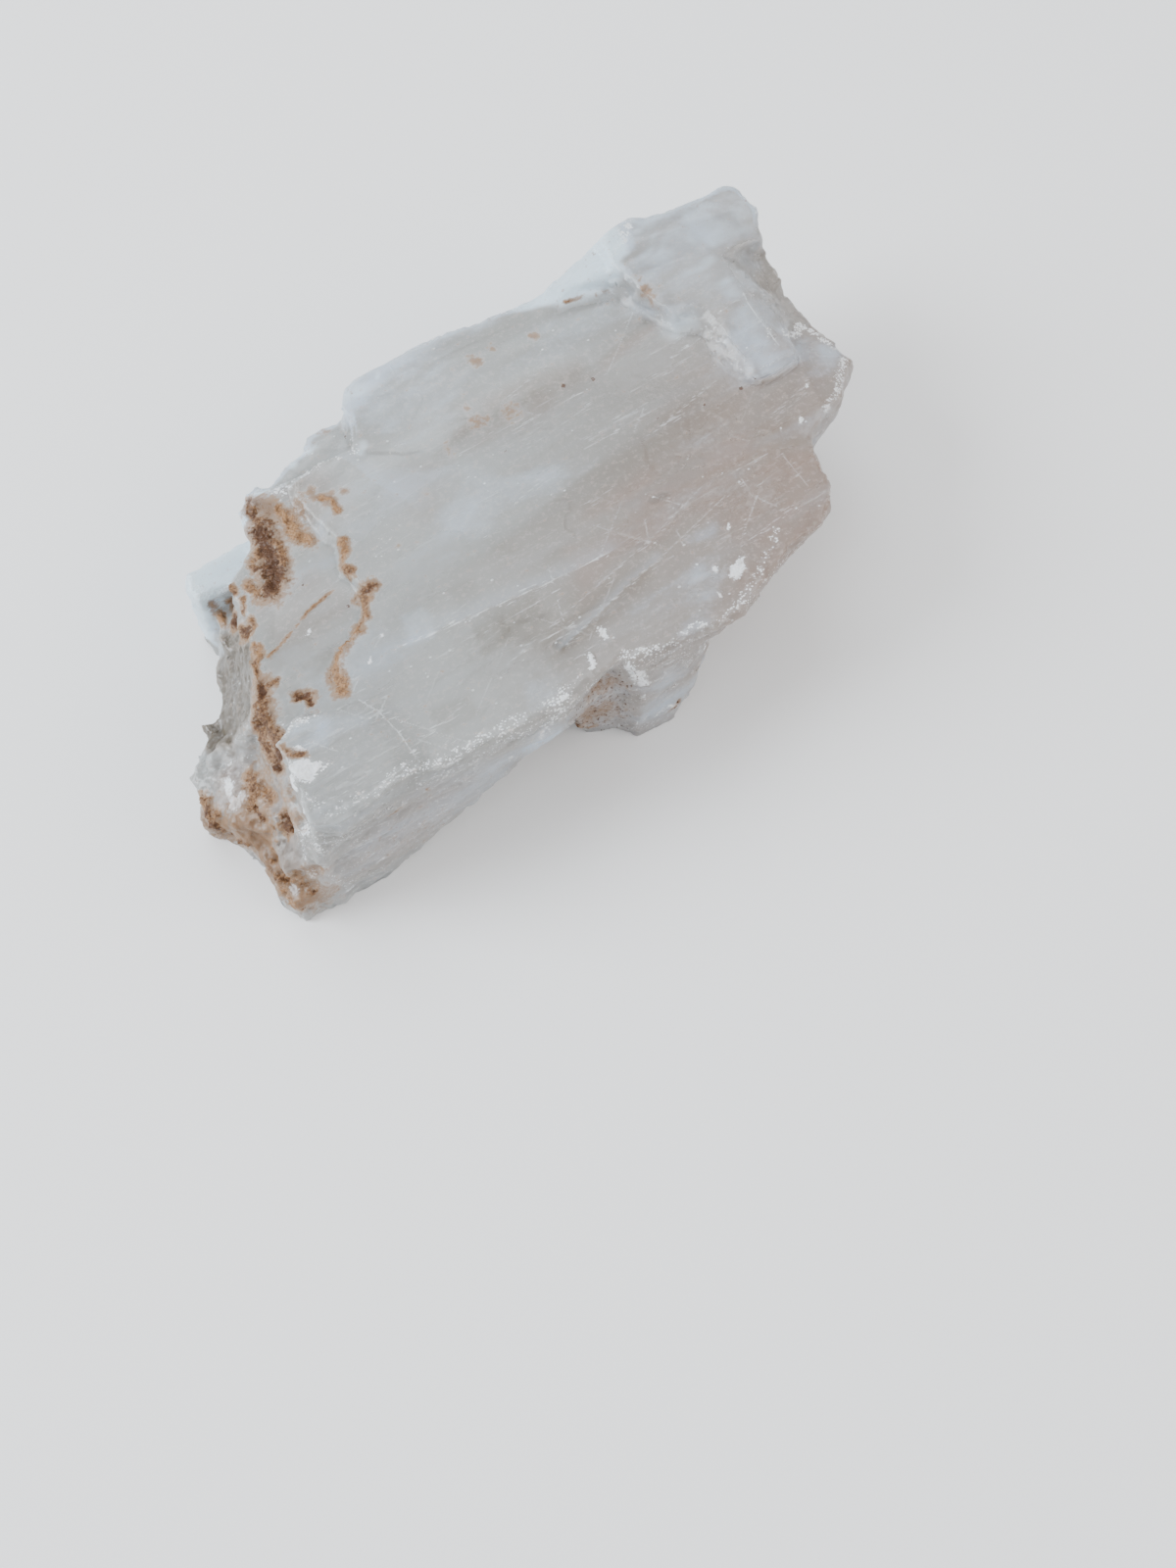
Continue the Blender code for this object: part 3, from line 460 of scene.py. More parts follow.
def line_distance(points, line):
    """Distance of each point to a run of straight pieces, and its side seen from above.

    The line's own points have two or three numbers. The side is 1 to the left of the way
    the line runs, and -1 to its right.
    """
    size = len(line[0])
    places = points[:, :size]
    best = np.full(len(places), 1e9)
    side = np.zeros(len(places))
    for start, end in zip(line[:-1], line[1:]):
        start = np.array(start, float)
        along = np.array(end, float) - start
        offset = places - start
        share = np.clip(offset @ along / (along @ along), 0, 1)
        gap = np.linalg.norm(offset - share[:, None] * along, axis=1)
        turn = along[0] * offset[:, 1] - along[1] * offset[:, 0]
        nearer = gap < best
        best[nearer] = gap[nearer]
        side[nearer] = np.sign(turn[nearer])
    return best, side


def over(below, above):
    """Two covers from 0 to 1, one laid over the other."""
    return 1 - (1 - below) * (1 - above)


def inside(points, outline, soft):
    """1 inside an outline drawn from above and 0 outside it, with an edge of the given softness."""
    corners = outline + outline[:1]
    gap, _ = line_distance(points, corners)
    within = np.zeros(len(points), bool)
    for (x0, y0), (x1, y1) in zip(corners[:-1], corners[1:]):
        if y0 != y1:
            crosses = (points[:, 1] < y0) != (points[:, 1] < y1)
            within ^= crosses & (points[:, 0] < x0 + (points[:, 1] - y0) * (x1 - x0) / (y1 - y0))
    return smooth_step(np.where(within, gap, -gap), -soft, soft)


def splinters(points, size, seed=0):
    """Flat facets that meet at sharp edges, each with a random height and lean, about -1 to 1."""
    scaled = points / np.asarray(size, float)
    low = np.floor(scaled).astype(np.int64)
    nearest = np.full(len(points), FAR)
    height = np.zeros(len(points))
    for corner in np.ndindex(3, 3, 3):
        cells = low + np.array(corner) - 1
        seat = np.stack([cell_value(cells, seed + axis) for axis in range(3)], axis=1)
        offset = scaled - cells - 0.5 - 0.45 * seat
        gap = np.einsum("ij,ij->i", offset, offset)
        nearer = gap < nearest
        lean = np.stack([cell_value(cells[nearer], seed + 3 + axis) for axis in range(3)], axis=1)
        plane = np.einsum("ij,ij->i", offset[nearer], lean)
        height[nearer] = plane + 0.5 * cell_value(cells[nearer], seed + 6)
        nearest[nearer] = gap[nearer]
    return height


def blob(points, place, radii):
    """1 at a place, falling smoothly to 0 at its radii; a place may leave out the height."""
    offset = (points[:, :len(place)] - np.array(place, float)) / np.asarray(radii, float)
    return smooth_step(np.linalg.norm(offset, axis=1), 1, 0)


# --------------------------------------------------
# Mesh helpers
# --------------------------------------------------

def apply_modifiers(thing):
    """Make the mesh what its modifiers show, and take them off."""
    bpy.context.view_layer.update()
    graph = bpy.context.evaluated_depsgraph_get()
    made = bpy.data.meshes.new_from_object(thing.evaluated_get(graph))
    thing.modifiers.clear()
    thing.data = made


def rows(items, name, width, kind):
    """One property of all items as an array, with a row for each item."""
    flat = np.empty(len(items) * width, kind)
    items.foreach_get(name, flat)
    return flat.reshape(-1, width)


def normals(mesh):
    return rows(mesh.vertex_normals, "vector", 3, np.float32).astype(np.float64)


def move_to(mesh, points):
    mesh.vertices.foreach_set("co", points.astype(np.float32).ravel())
    mesh.update()


def averaged(values, ends, rounds):
    """Each vertex's value averaged with its neighbours', several times over."""
    values = values.copy()
    count = np.bincount(ends.ravel(), minlength=len(values)).astype(float)
    for _ in range(rounds):
        total = np.empty_like(values)
        for axis in range(values.shape[1]):
            column = values[:, axis]
            total[:, axis] = np.bincount(ends[:, 0], column[ends[:, 1]], len(values))
            total[:, axis] += np.bincount(ends[:, 1], column[ends[:, 0]], len(values))
        values = 0.5 * values + 0.5 * total / count[:, None]
    return values


def paint(mesh, name, values):
    """Store one number a vertex, held between 0 and 1."""
    layer = mesh.attributes.new(name, "FLOAT", "POINT")
    layer.data.foreach_set("value", np.clip(values, 0, 1).astype(np.float32))


# --------------------------------------------------
# Shader maths
# --------------------------------------------------

class Signal:
    """One shader socket, with the arithmetic that adds Math nodes behind it."""

    def __init__(self, look, socket):
        self.look = look
        self.socket = socket

    def math(self, operation, *others):
        inputs = dict(enumerate((self,) + others))
        return self.look.node("ShaderNodeMath", {"operation": operation}, inputs)

    def __add__(self, other):
        return self.math("ADD", other)

    __radd__ = __add__

    def __mul__(self, other):
        return self.math("MULTIPLY", other)

    __rmul__ = __mul__

    def __sub__(self, other):
        return self.math("SUBTRACT", other)

    def __rsub__(self, other):
        return self.look.node("ShaderNodeMath", {"operation": "SUBTRACT"}, {0: other, 1: self})

    def larger(self, other):
        return self.math("MAXIMUM", other)

    def step(self, start, end):
        """0 before start, 1 after end, smooth between; start may be the larger."""
        if start > end:
            return 1 - self.step(end, start)
        sockets = {"Value": self, "From Min": start, "From Max": end}
        return self.look.node("ShaderNodeMapRange", {"interpolation_type": "SMOOTHSTEP"}, sockets)


class Surface:
    """A material and the one way in which nodes are added to it."""

    def __init__(self, name):
        self.material = bpy.data.materials.new(name)
        self.material.use_nodes = True
        self.tree = self.material.node_tree
        self.tree.nodes.clear()

    def node(self, kind, settings=None, sockets=None, output=0):
        """Add a node: its settings first, then the values or links of its sockets."""
        made = self.tree.nodes.new(kind)
        for key, value in (settings or {}).items():
            setattr(made, key, value)
        for key, value in (sockets or {}).items():
            target = made.inputs[key]
            if isinstance(value, Signal):
                self.tree.links.new(value.socket, target)
            else:
                target.default_value = value
        return Signal(self, made.outputs[output]) if made.outputs else None

    def attribute(self, name):
        return self.node("ShaderNodeAttribute", {"attribute_name": name}, output="Fac")

    def place(self, sizes):
        """The place on the object, divided by one size in millimetres for each axis."""
        here = self.node("ShaderNodeTexCoord", output="Object")
        scale = tuple(1.0 / (size * MM) for size in sizes)
        return self.node("ShaderNodeVectorMath", {"operation": "MULTIPLY"}, {0: here, 1: scale})

    def noise(self, sizes, detail=3.0, roughness=0.5):
        sockets = {"Vector": self.place(sizes), "Scale": 1.0, "Detail": detail, "Roughness": roughness}
        return self.node("ShaderNodeTexNoise", {}, sockets, "Fac")

    def grains(self, sizes):
        """Distance to the nearest grain's middle."""
        sockets = {"Vector": self.place(sizes), "Scale": 1.0}
        return self.node("ShaderNodeTexVoronoi", {}, sockets, "Distance")

    def mix(self, share, first, second):
        """Blend two colours; a plain colour is given as three numbers."""
        # The node's inputs 6 and 7 and its output 2 are those for colours.
        sockets = {0: share, 6: full_colour(first), 7: full_colour(second)}
        return self.node("ShaderNodeMix", {"data_type": "RGBA"}, sockets, 2)

    def finish(self, surface, volume=None):
        sockets = {"Surface": surface}
        if volume is not None:
            sockets["Volume"] = volume
        self.node("ShaderNodeOutputMaterial", {}, sockets)


def full_colour(colour):
    return colour if isinstance(colour, Signal) else tuple(colour)[:3] + (1.0,)


# --------------------------------------------------
# Settings
# --------------------------------------------------

def number_setting(name, about, value, least=0.0, **kind):
    return bpy.props.FloatProperty(name=name, description=about, default=value, min=least, **kind)


def length_setting(name, about, value):
    return number_setting(name, about, value, precision=5, subtype="DISTANCE", unit="LENGTH")


def power_setting(name, about, value):
    return number_setting(name, about, value, subtype="POWER", unit="POWER")


def colour_setting(name, about, value):
    return bpy.props.FloatVectorProperty(
        name=name, description=about, default=value, min=0.0, max=1.0, size=3, subtype="COLOR"
    )


def place_setting(name, about, value):
    return bpy.props.FloatVectorProperty(
        name=name, description=about, default=value, size=3, subtype="TRANSLATION", unit="LENGTH"
    )


class CrystalSettings(bpy.types.PropertyGroup):
    grain: length_setting("Grain", "Edge length of the mesh on which the relief is worked out", 0.00031)
    triangles: bpy.props.IntProperty(
        name="Triangles", description="Most triangles that the crystal may have", default=194000, min=1000
    )
    milk: colour_setting("Milk", "Cool grey of the milky crystal", (0.472, 0.482, 0.470))
    # Blush is partly the crystal's warm tone and partly painted warm reflected light towards the right.
    blush: colour_setting("Blush", "Warm grey of the right and near side", (0.38, 0.28, 0.23))
    # This colour serves the cloudy veils and also the painted cool sheen.
    veil_and_sheen: colour_setting("Haze", "Pale blue of the cloudy veils", (0.68, 0.79, 0.92))
    # Pale is painted light, the cool sheen on the far slope, the block and the far rim.
    pale: colour_setting("Pale", "Blue white of the far slope and the block", (0.72, 0.88, 1.0))
    window: colour_setting("Clear", "Olive grey of the clearer windows", (0.21, 0.19, 0.14))
    # The deep tone falls where the clear tone is nearly full: mostly painted shade in the hollow at the left
    # end, where the crystal is also clearer, and the dark of the lump there.
    deep: colour_setting("Deep", "Dark olive of the clear hollow at the left end", (0.08, 0.064, 0.036))
    chalk: colour_setting("Chalk", "White of bruised edges and chips", (0.92, 0.95, 0.98))
    tan: colour_setting("Tan", "Pale rust of thin clay", (0.34, 0.188, 0.088))
    rust: colour_setting("Rust", "Dark rust of thick clay", (0.07, 0.026, 0.008))


class StageSettings(bpy.types.PropertyGroup):
    table: colour_setting("Table", "Colour of the table", (0.93, 0.93, 0.93))
    table_size: length_setting("Table size", "Side of the square table", 3.0)
    lens: number_setting("Lens", "Focal length of the camera in millimetres", 40.0, 1.0)
    camera_place: place_setting("Camera", "Where the camera stands", (-0.06331, -0.11898, 0.2274))
    camera_aim: place_setting("Aim", "Point that the camera looks at", (-0.00791, -0.03208, 0.0))
    room_light: number_setting("Room light", "Strength of the light from all sides", 1.05)
    window_light: power_setting("Window light", "Power of the large cool light at the far left", 20.0)
    sheen_light: power_setting("Sheen light", "Power of the cool light that the top face mirrors", 4.0)
    warm_light: power_setting("Warm light", "Power of the warm light at the near right", 5.0)


# --------------------------------------------------
# The crystal's shape
# --------------------------------------------------

def fine_copy(name, grain):
    """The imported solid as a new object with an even, fine mesh."""
    made = bpy.data.objects.new(name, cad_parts[NODE].data.copy())
    bpy.context.scene.collection.objects.link(made)
    even = made.modifiers.new("even grain", "REMESH")
    even.mode = "VOXEL"
    even.voxel_size = grain
    apply_modifiers(made)
    return made


def warped(points, size, reach, seed):
    """The points pushed about by smooth noise, so that what is measured on them is ragged."""
    push = np.stack([rough_noise(points, size, 2, seed + 10 * axis) for axis in range(3)], axis=1)
    return points + reach * push


class Fields:
    """Where each feature lies, as one number a point, and the points pushed about in three ways."""

    def __init__(self, points, facing, ridge):
        self.points = points
        self.level = smooth_step(facing[:, 2], *FLAT)
        self.under = smooth_step(-facing[:, 2], 0.5, 0.9)
        self.wall = 1 - smooth_step(np.abs(facing[:, 2]), *FLAT)
        self.ridge = ridge
        self.ragged = warped(points, 2.2, 0.55, 101)
        self.bent = warped(points, 7, 0.35, 131)
        self.loose = warped(points, (12, 5, 5), 1.3, 141)
        self.sheets = np.floor(3 * rough_noise(points, (30, 8, 20), 2, 37) - 0.06 * points[:, 1])
        self.clay, self.dark = self.clay_runs()
        self.wash = self.washes()
        self.chalk = self.chalk_crumbs()
        self.left_end = smooth_step(-points[:, 0], 44, 50) * smooth_step(-points[:, 2], -19, -15)
        x, y, z = points.T
        self.rusty = smooth_step(x, -10.5, -8.5) * smooth_step(x, 2.2, 1.4) * smooth_step(y, -22.5, -24)
        self.rusty *= smooth_step(z, 23.4, 22.4) * (1 - self.level)

    def clay_runs(self):
        clay = np.zeros(len(self.points))
        dark = np.zeros(len(self.points))
        squat = np.array((1, 1, 0.7))
        for half_width, darkness, run in CLAY_RUNS:
            here = self.ragged if half_width > HAIR else self.bent
            gap, _ = line_distance(here * squat, np.array(run) * squat)
            near = 1 - gap / (CLAY_SPREAD * half_width)
            dark = np.where(near > clay, darkness, dark)
            clay = np.maximum(clay, near)
        return np.clip(clay, 0, 1), dark

    def washes(self):
        wash = np.zeros(len(self.points))
        for radius, strength, place in WASHES:
            wash = np.maximum(wash, strength * blob(self.ragged, place, WASH_SPREAD * radius))
        return wash

    def chalk_crumbs(self):
        chalk = np.zeros(len(self.points))
        for half_width, thick, edge in CRUMB_EDGES:
            gap, _ = line_distance(self.ragged, edge)
            near = 1 - smooth_step(gap, 0.3 * half_width, 1.5 * half_width)
            chalk = np.maximum(chalk, 0.62 * thick * near)
        for half_length, half_width, turn, place in CHIPS:
            angle = np.radians(turn)
            x, y, z = (self.ragged - np.array(place)).T
            along = x * np.cos(angle) + y * np.sin(angle)
            across = -x * np.sin(angle) + y * np.cos(angle)
            gap = np.sqrt((along / half_length) ** 2 + (across ** 2 + z ** 2) / half_width ** 2)
            thick = min(1.0, 0.65 + 0.2 * half_width)
            chalk = np.maximum(chalk, thick * (1 - smooth_step(gap, 0.4, 1.6)))
        return chalk


def laminae(points, thickness, seed):
    """Broken edges of the thin sheets that the crystal splits into: blocks that stand in or out."""
    lean = value_noise(points, 24, seed) * 1.2
    layer = np.floor(points[:, 2] / thickness + lean)
    along = points[:, 0] / BLOCK_SIZE + 0.9 * value_noise(points, 5, seed + 1) + 0.37 * layer
    across = points[:, 1] / BLOCK_SIZE
    cells = np.stack([np.floor(along), np.floor(across), layer], axis=1).astype(np.int64)
    return cell_value(cells, seed + 2)


def relief(fields):
    """How far each point moves along its normal, in millimetres."""
    points = fields.points
    x, y, z = points.T
    swell = value_noise(points, (18, 9, 9), 5)
    fibres = rough_noise(points, (14, 0.8, 1.4), 2, 31)
    lumps = rough_noise(points, 2.4, 3, 23)
    grains = 0.6 - grain_distance(points, 1.1, 47)
    edges = laminae(points, 1.5, 53) + 0.6 * laminae(points, 0.7, 59)
    broken_wall = fields.wall * (1 - fields.left_end)
    broken = np.zeros(len(points))
    rough = broken_wall > 0.05
    broken[rough] = splinters(points[rough], (6.5, 2.6, 1.5), 61)
    broken[rough] += 0.45 * splinters(points[rough], (2.4, 1.3, 0.9), 67)
    crushed = np.zeros(len(points))
    loose = (fields.left_end > 0.05) | (fields.clay > 0.3) | (fields.chalk > 0.3)
    crushed[loose] = splinters(points[loose], 1.7, 71)
    crushed[loose] += 0.6 * splinters(points[loose], 0.9, 77)

    # Each term is a height in millimetres, times how much of its feature lies here.
    splint = smooth_step(-x, 31, 33) * smooth_step(-y, 13, 15)
    move = 0.04 * swell + fields.level * (0.010 * fibres + 0.035 * fields.sheets)
    move += splint * fields.level * 0.06 * fibres
    move += broken_wall * (0.10 * edges + 0.22 * broken)
    move += fields.left_end * (0.12 * lumps + 0.05 * grains + 0.24 * crushed)

    clump = smooth_step(fields.clay, 0.40, 0.62)
    pits = rough_noise(points, 1.5, 2, 83)
    move += clump * (0.05 + 0.14 * grains + 0.30 * crushed)
    move -= 0.5 * clump * smooth_step(fields.dark, 0.6, 0.9) * smooth_step(pits, -0.1, 0.3)
    crumbs = smooth_step(fields.chalk * 0.9 + 0.3 * rough_noise(points, 0.9, 2, 41), 0.45, 0.7)
    move += crumbs * (0.03 + 0.24 * crushed)
    bruise = smooth_step(fields.ridge, 0.06, 0.2) * smooth_step(lumps, 0.1, 0.7)
    move -= bruise * 0.16
    resting = smooth_step(z, 0.7, 0.2) * fields.under
    return move * (1 - resting)


def crisp_steps(points):
    """The height of each point, with the thin sheets on the main face cut off steeply."""
    _, y, z = points.T
    thin = np.where(y > 0, 0.25, 0.7)
    share = (z - TOP) / thin
    return np.where((share > 0) & (share < 1), TOP + thin * smooth_step(share, 0.35, 0.65), z)


def thin_out(crystal, fields, triangles):
    """Take triangles away from the underside and the walls, and leave the upper faces dense."""
    spare = crystal.vertex_groups.new(name="spare")
    under = fields.under > 0.5
    wall = ~under & (fields.level < 0.5)
    for part, weight in ((under, 0.7), (wall, 0.6)):
        spare.add(np.flatnonzero(part).tolist(), weight, "REPLACE")
    thin = crystal.modifiers.new("thin", "DECIMATE")
    thin.ratio = min(1.0, triangles / (2 * len(crystal.data.polygons)))
    thin.use_collapse_triangulate = True
    thin.vertex_group = spare.name
    thin.vertex_group_factor = 0.5
    apply_modifiers(crystal)
    crystal.vertex_groups.clear()


def healed(points, ends):
    """Smooth the mesh along the healed grooves, and leave all the rest as it is."""
    for reach, rounds, line in HEALED:
        gap, _ = line_distance(points, line)
        near = np.flatnonzero(gap < reach)
        order = np.full(len(points), -1)
        order[near] = np.arange(len(near))
        kept = order[ends]
        smooth = averaged(points[near], kept[(kept >= 0).all(axis=1)], rounds)
        share = smooth_step(gap[near], reach, 0.4 * reach)[:, None]
        points[near] += share * (smooth - points[near])
    return points


def standing_out(points, ends, rounds, facing):
    """How far each point stands out of its surroundings along its normal."""
    return np.einsum("ij,ij->i", points - averaged(points, ends, rounds), facing)


def shape_crystal(crystal, triangles):
    """Sharpen the edges, add the relief, paint the fields and thin the mesh."""
    mesh = crystal.data
    ends = rows(mesh.edges, "vertices", 2, np.int32)
    points = averaged(rows(mesh.vertices, "co", 3, np.float32).astype(np.float64) / MM, ends, 2)
    move_to(mesh, points * MM)
    facing = normals(mesh)
    points[:, 2] = crisp_steps(points)
    points = healed(points, ends)
    jut = standing_out(points, ends, 6, facing)
    sharper = 1.3 * np.maximum(jut - 0.01, 0) + 0.3 * np.minimum(jut, 0)
    points = points + facing * sharper[:, None]
    move_to(mesh, points * MM)
    facing = normals(mesh)
    fields = Fields(points, facing, standing_out(points, ends, 30, facing))
    points = points + facing * relief(fields)[:, None]
    points[:, 2] = np.maximum(points[:, 2], 0)
    move_to(mesh, points * MM)
    paint_fields(mesh, fields)
    thin_out(crystal, fields, triangles)
    crystal.data.shade_smooth()


# --------------------------------------------------
# Where colour lies on the crystal
# --------------------------------------------------

def hairlines():
    """Faint straight flaws scattered in the main face, most of them along the fibres."""
    chance = np.random.default_rng(12)
    turns = (2, 4, 8, 12, 38, -52)
    shares = (0.3, 0.25, 0.15, 0.1, 0.12, 0.08)
    lines = []
    for count in range(HAIRLINES):
        on_splint = count % 3 == 0
        start = np.array([chance.uniform(*span) for span in FACE_SPAN])
        if on_splint:
            start = np.array([chance.uniform(*span) for span in SPLINT_SPAN])
        turn = np.radians(chance.choice(turns, p=shares))
        reach = chance.uniform(2, 5 if on_splint else 14) * np.array((np.cos(turn), np.sin(turn)))
        lines.append((chance.uniform(0.12, 0.5), (tuple(start), tuple(start + reach))))
    return tuple(lines)


def texture_fields(fields):
    """The cloudy, streaked and sheeted look of the whole crystal."""
    points = fields.points
    x, y, _ = points.T
    wisps = warped(points, (14, 7, 7), 3.0, 151)
    stir = 0.40 - 0.22 * smooth_step(x, 2, 16) * smooth_step(y, -8, 0)
    streak = rough_noise(points, (26, 1.7, 2.4), 3, 73)
    layer = np.stack([fields.sheets, 0 * x, 0 * x], axis=1).astype(np.int64)
    return {
        "cloud": 0.5 + stir * rough_noise(wisps, (15, 5, 6), 5, 71),
        "streak": smooth_step(streak, 0.1, 0.8),
        "sheet": 0.5 + 0.5 * cell_value(layer, 79),
    }


def tone_fields(fields):
    """Where the four tones lie: those of the zones, those of the walls, and broad shifts of each."""
    points = fields.points
    x, y, z = points.T
    tones = {}
    patchy = 0.35 + 0.65 * smooth_step(rough_noise(fields.loose, (6, 2.5, 3), 4, 171), -0.7, 0.5)
    above_foot = smooth_step(z, 2, 6)
    for tone, zones in ZONES.items():
        cover = np.zeros(len(points))
        for strength, soft, outline in zones:
            where = fields.loose if soft > LOOSE else fields.bent if soft > BENT else points
            share = inside(where, outline, soft) * above_foot
            if soft > LOOSE:
                share *= patchy
            cover = over(cover, strength * share)
        for strength, radii, place in WALL_TONES[tone]:
            cover = over(cover, strength * blob(fields.ragged, place, radii))
        tones[tone] = cover

    # Painted highlight: the ridges along the far side take the pale blue tone, as if they caught the cool
    # light.
    far_rim_highlight = smooth_step(fields.ridge, 0.02, 0.12) * smooth_step(y, 18, 24)
    tones["haze"] = np.maximum(tones["haze"], 0.9 * far_rim_highlight)
    # Painted shade: the first olive term darkens the level top towards the right and the near side, away
    # from the cool light at the far left.
    olive = 0.24 * smooth_step(x - 0.3 * y, -18, 24)
    olive += 0.16 * smooth_step(x, -16, -4) * smooth_step(y, 2, -5) * smooth_step(y, -20, -13)
    olive *= smooth_step(z, 24.9, 24.5) * fields.level
    tones["clear"] = over(tones["clear"], olive)
    gap, side = line_distance(points, TONE_STEP)
    near_side = smooth_step(-side * gap, -0.6, 1.0)
    # The first term of warm is painted warm reflected light, growing towards the right; the second is the
    # crystal's warmer tone on the near side of the tone step.
    warm = 0.35 * smooth_step(x - 0.75 * y, -12, 42) + 0.2 * near_side * smooth_step(x, -22, 0)
    tones["blush"] = over(warm, tones["blush"])
    return tones


def flaw_fields(fields):
    """Ends of inner sheets, cracks and dark specks. A crack is 1 on its line and 0 at its reach."""
    points = fields.points
    flash = np.zeros(len(points))
    for strength, fade, line in FLASHES:
        gap, side = line_distance(fields.bent, line)
        flash += strength * (side > 0) * smooth_step(gap, fade, 0) ** 1.5 * fields.level

    crack_gap = np.full(len(points), FAR)
    crack_white = np.zeros(len(points))
    for white, line in CRACKS + hairlines():
        gap, _ = line_distance(points, line)
        crack_white = np.where(gap < crack_gap, white, crack_white)
        crack_gap = np.minimum(crack_gap, gap)
    crack = (1 - crack_gap / CRACK_REACH) * fields.level
    seen_from_front = points[:, (0, 2)]
    near_wall = fields.wall * smooth_step(points[:, 1], -20, -24)
    for white, line in WALL_CRACKS:
        gap, _ = line_distance(seen_from_front, line)
        near = (1 - gap / CRACK_REACH) * near_wall
        crack_white = np.where(near > crack, white, crack_white)
        crack = np.maximum(crack, near)

    specks = np.zeros(len(points))
    for radius, place in DARK_SPECKS:
        specks = np.maximum(specks, blob(points, place, 2 * radius) * fields.level)
    grime = 0.56 * fields.rusty + 0.40 * fields.left_end * smooth_step(points[:, 1], -4, -9)
    return {
        "flash": np.maximum(flash, 0),
        "gloom": np.maximum(-flash, 0),
        "crack": crack,
        "crack_white": crack_white,
        "specks": np.maximum(specks, grime),
    }


def paint_fields(mesh, fields):
    """Store every field on the mesh, where the finish reads it."""
    for name in ("clay", "dark", "wash", "chalk", "wall"):
        paint(mesh, name, getattr(fields, name))
    for group in (texture_fields(fields), tone_fields(fields), flaw_fields(fields)):
        for name, values in group.items():
            paint(mesh, name, values)


# --------------------------------------------------
# The crystal's finish
# --------------------------------------------------

class CrystalLook(Surface):
    """The crystal's material, with the painted fields and the noises that its parts share."""

    def __init__(self):
        super().__init__("milky selenite")
        for name in PAINTED:
            setattr(self, name, self.attribute(name))
        self.fibres = self.noise((9, 0.5, 0.7), 4.0, 0.6)
        self.fine = self.noise((0.5, 0.5, 0.5), 3.0, 0.65)
        self.crumb = self.noise((1.1, 0.8, 0.8), 4.0, 0.62)
        self.fine_swing = self.fine - 0.5
        self.crumb_swing = self.crumb - 0.5
        self.grit = self.grains((0.42, 0.34, 0.34)) + self.fine_swing * 0.5


def body_colour(look, settings):
    """The crystal itself: milk with clear and warm zones, and veils, streaks and fibres over them."""
    clear = look.clear
    body = look.mix(look.sheet * 0.08, settings.milk, settings.window)
    # The clear and blush tones carry painted light as well: shade darkening the top towards the right, and a
    # warm reflection there.
    body = look.mix(clear * (look.cloud * 0.3 + clear * clear * 0.35 + 0.48), body, settings.window)
    body = look.mix(look.blush * (look.cloud * 0.3 + 0.85), body, settings.blush)
    # Painted shade: the deep tone darkens the hollow at the left end, and the lump there.
    body = look.mix(clear.step(0.90, 1.0) * 0.65, body, settings.deep)
    body = look.mix(look.wall * look.fibres.step(0.50, 0.34) * 0.08, body, settings.window)
    # The veils carry the haze tone, so they hold the painted cool sheen as well.
    veils = look.haze + (look.cloud - 0.5) * 1.1 + look.crumb_swing * 0.35 + look.fine_swing * 0.3
    body = look.mix((veils - clear * 0.2).step(0.0, 1.05) * 0.9, body, settings.veil_and_sheen)
    # Painted light: the pale tone lays the cool sheen over the body.
    body = look.mix(look.pale * (look.crumb * 0.6 + 0.6), body, settings.pale)
    body = look.mix(look.streak * 0.05, body, settings.veil_and_sheen)
    body = look.mix(look.flash * 0.7, body, settings.veil_and_sheen)
    body = look.mix(look.gloom * 0.5, body, settings.window)
    threads = look.fibres.step(0.58, 0.76) * (look.wall * 0.30 + 0.06) * (1 - clear * 0.8)
    return look.mix(threads, body, settings.veil_and_sheen)


def white_covers(look):
    """How much frost lies on the bruises, and how much solid white on cracks, crumbs and flecks, with
    painted glints along the cracks and among the flecks.
    """
    dashes = look.noise((2.2, 0.35, 0.35), 3.0, 0.6)
    line = (look.crack - 0.94 + look.fine_swing * 0.05).step(0.0, 0.05) * look.crack_white
    # Painted glints: bright dashes along the cracks.
    sparkle = (look.crack - 0.62).step(0.0, 0.33) * dashes.step(0.60, 0.68) * look.crack_white
    white_line = (line * 0.5).larger(sparkle * 0.8)

    scatter = look.crumb_swing * 1.3 + look.fine_swing * 0.4
    frost = (look.chalk + scatter * 0.7).step(0.15, 0.8) * 0.5
    crumbs = (look.chalk * 1.25 + scatter - look.grit * 0.9).step(0.08, 0.18) * (look.fine * 0.6 + 0.4)
    stray = (scatter * 0.7 + look.fibres * 0.6 - look.grit * 0.7).step(0.12, 0.20) * 0.6
    stray = stray * (look.wall * 0.85 + 0.05) * (1 - look.clear * 0.8)
    # Flecks scattered over the crystal: partly its own white flecks, partly painted glints.
    flecks = (look.grains((2.9, 2.1, 2.1)) + look.fine_swing * 0.16).step(0.09, 0.05)
    flecks = flecks * (look.fine * 1.2 - 0.1)
    return frost, crumbs.larger(white_line).larger(stray).larger(flecks)


def clay_covers(look):
    """How much film, thick clay and dark speck there is, and how dark the thick clay is."""
    fine, crumb, grit = look.fine_swing, look.crumb_swing, look.grit
    ragged = look.clay + crumb * 1.1 + fine * 0.5 + (0.5 - grit) * 0.2
    thin_clay = ragged.step(0.0, 0.5) * 0.55
    pepper = (look.wash * 0.8 + fine * 2.6 - grit * 0.5).step(0.66, 0.86) * 0.7
    thick_clay = ragged.step(0.38, 0.70).larger(pepper)
    wash = (look.wash + crumb * 1.3 + fine * 0.6).step(0.15, 0.95) * 0.62
    specks = (look.specks + fine * 1.3).step(0.62, 0.74)
    darkness = (look.dark * look.clay * 1.15 + fine * 1.4 + crumb * 1.2 + (grit - 0.45) * 0.5).step(0.0, 1.0)
    return wash.larger(thin_clay), thick_clay, specks, darkness


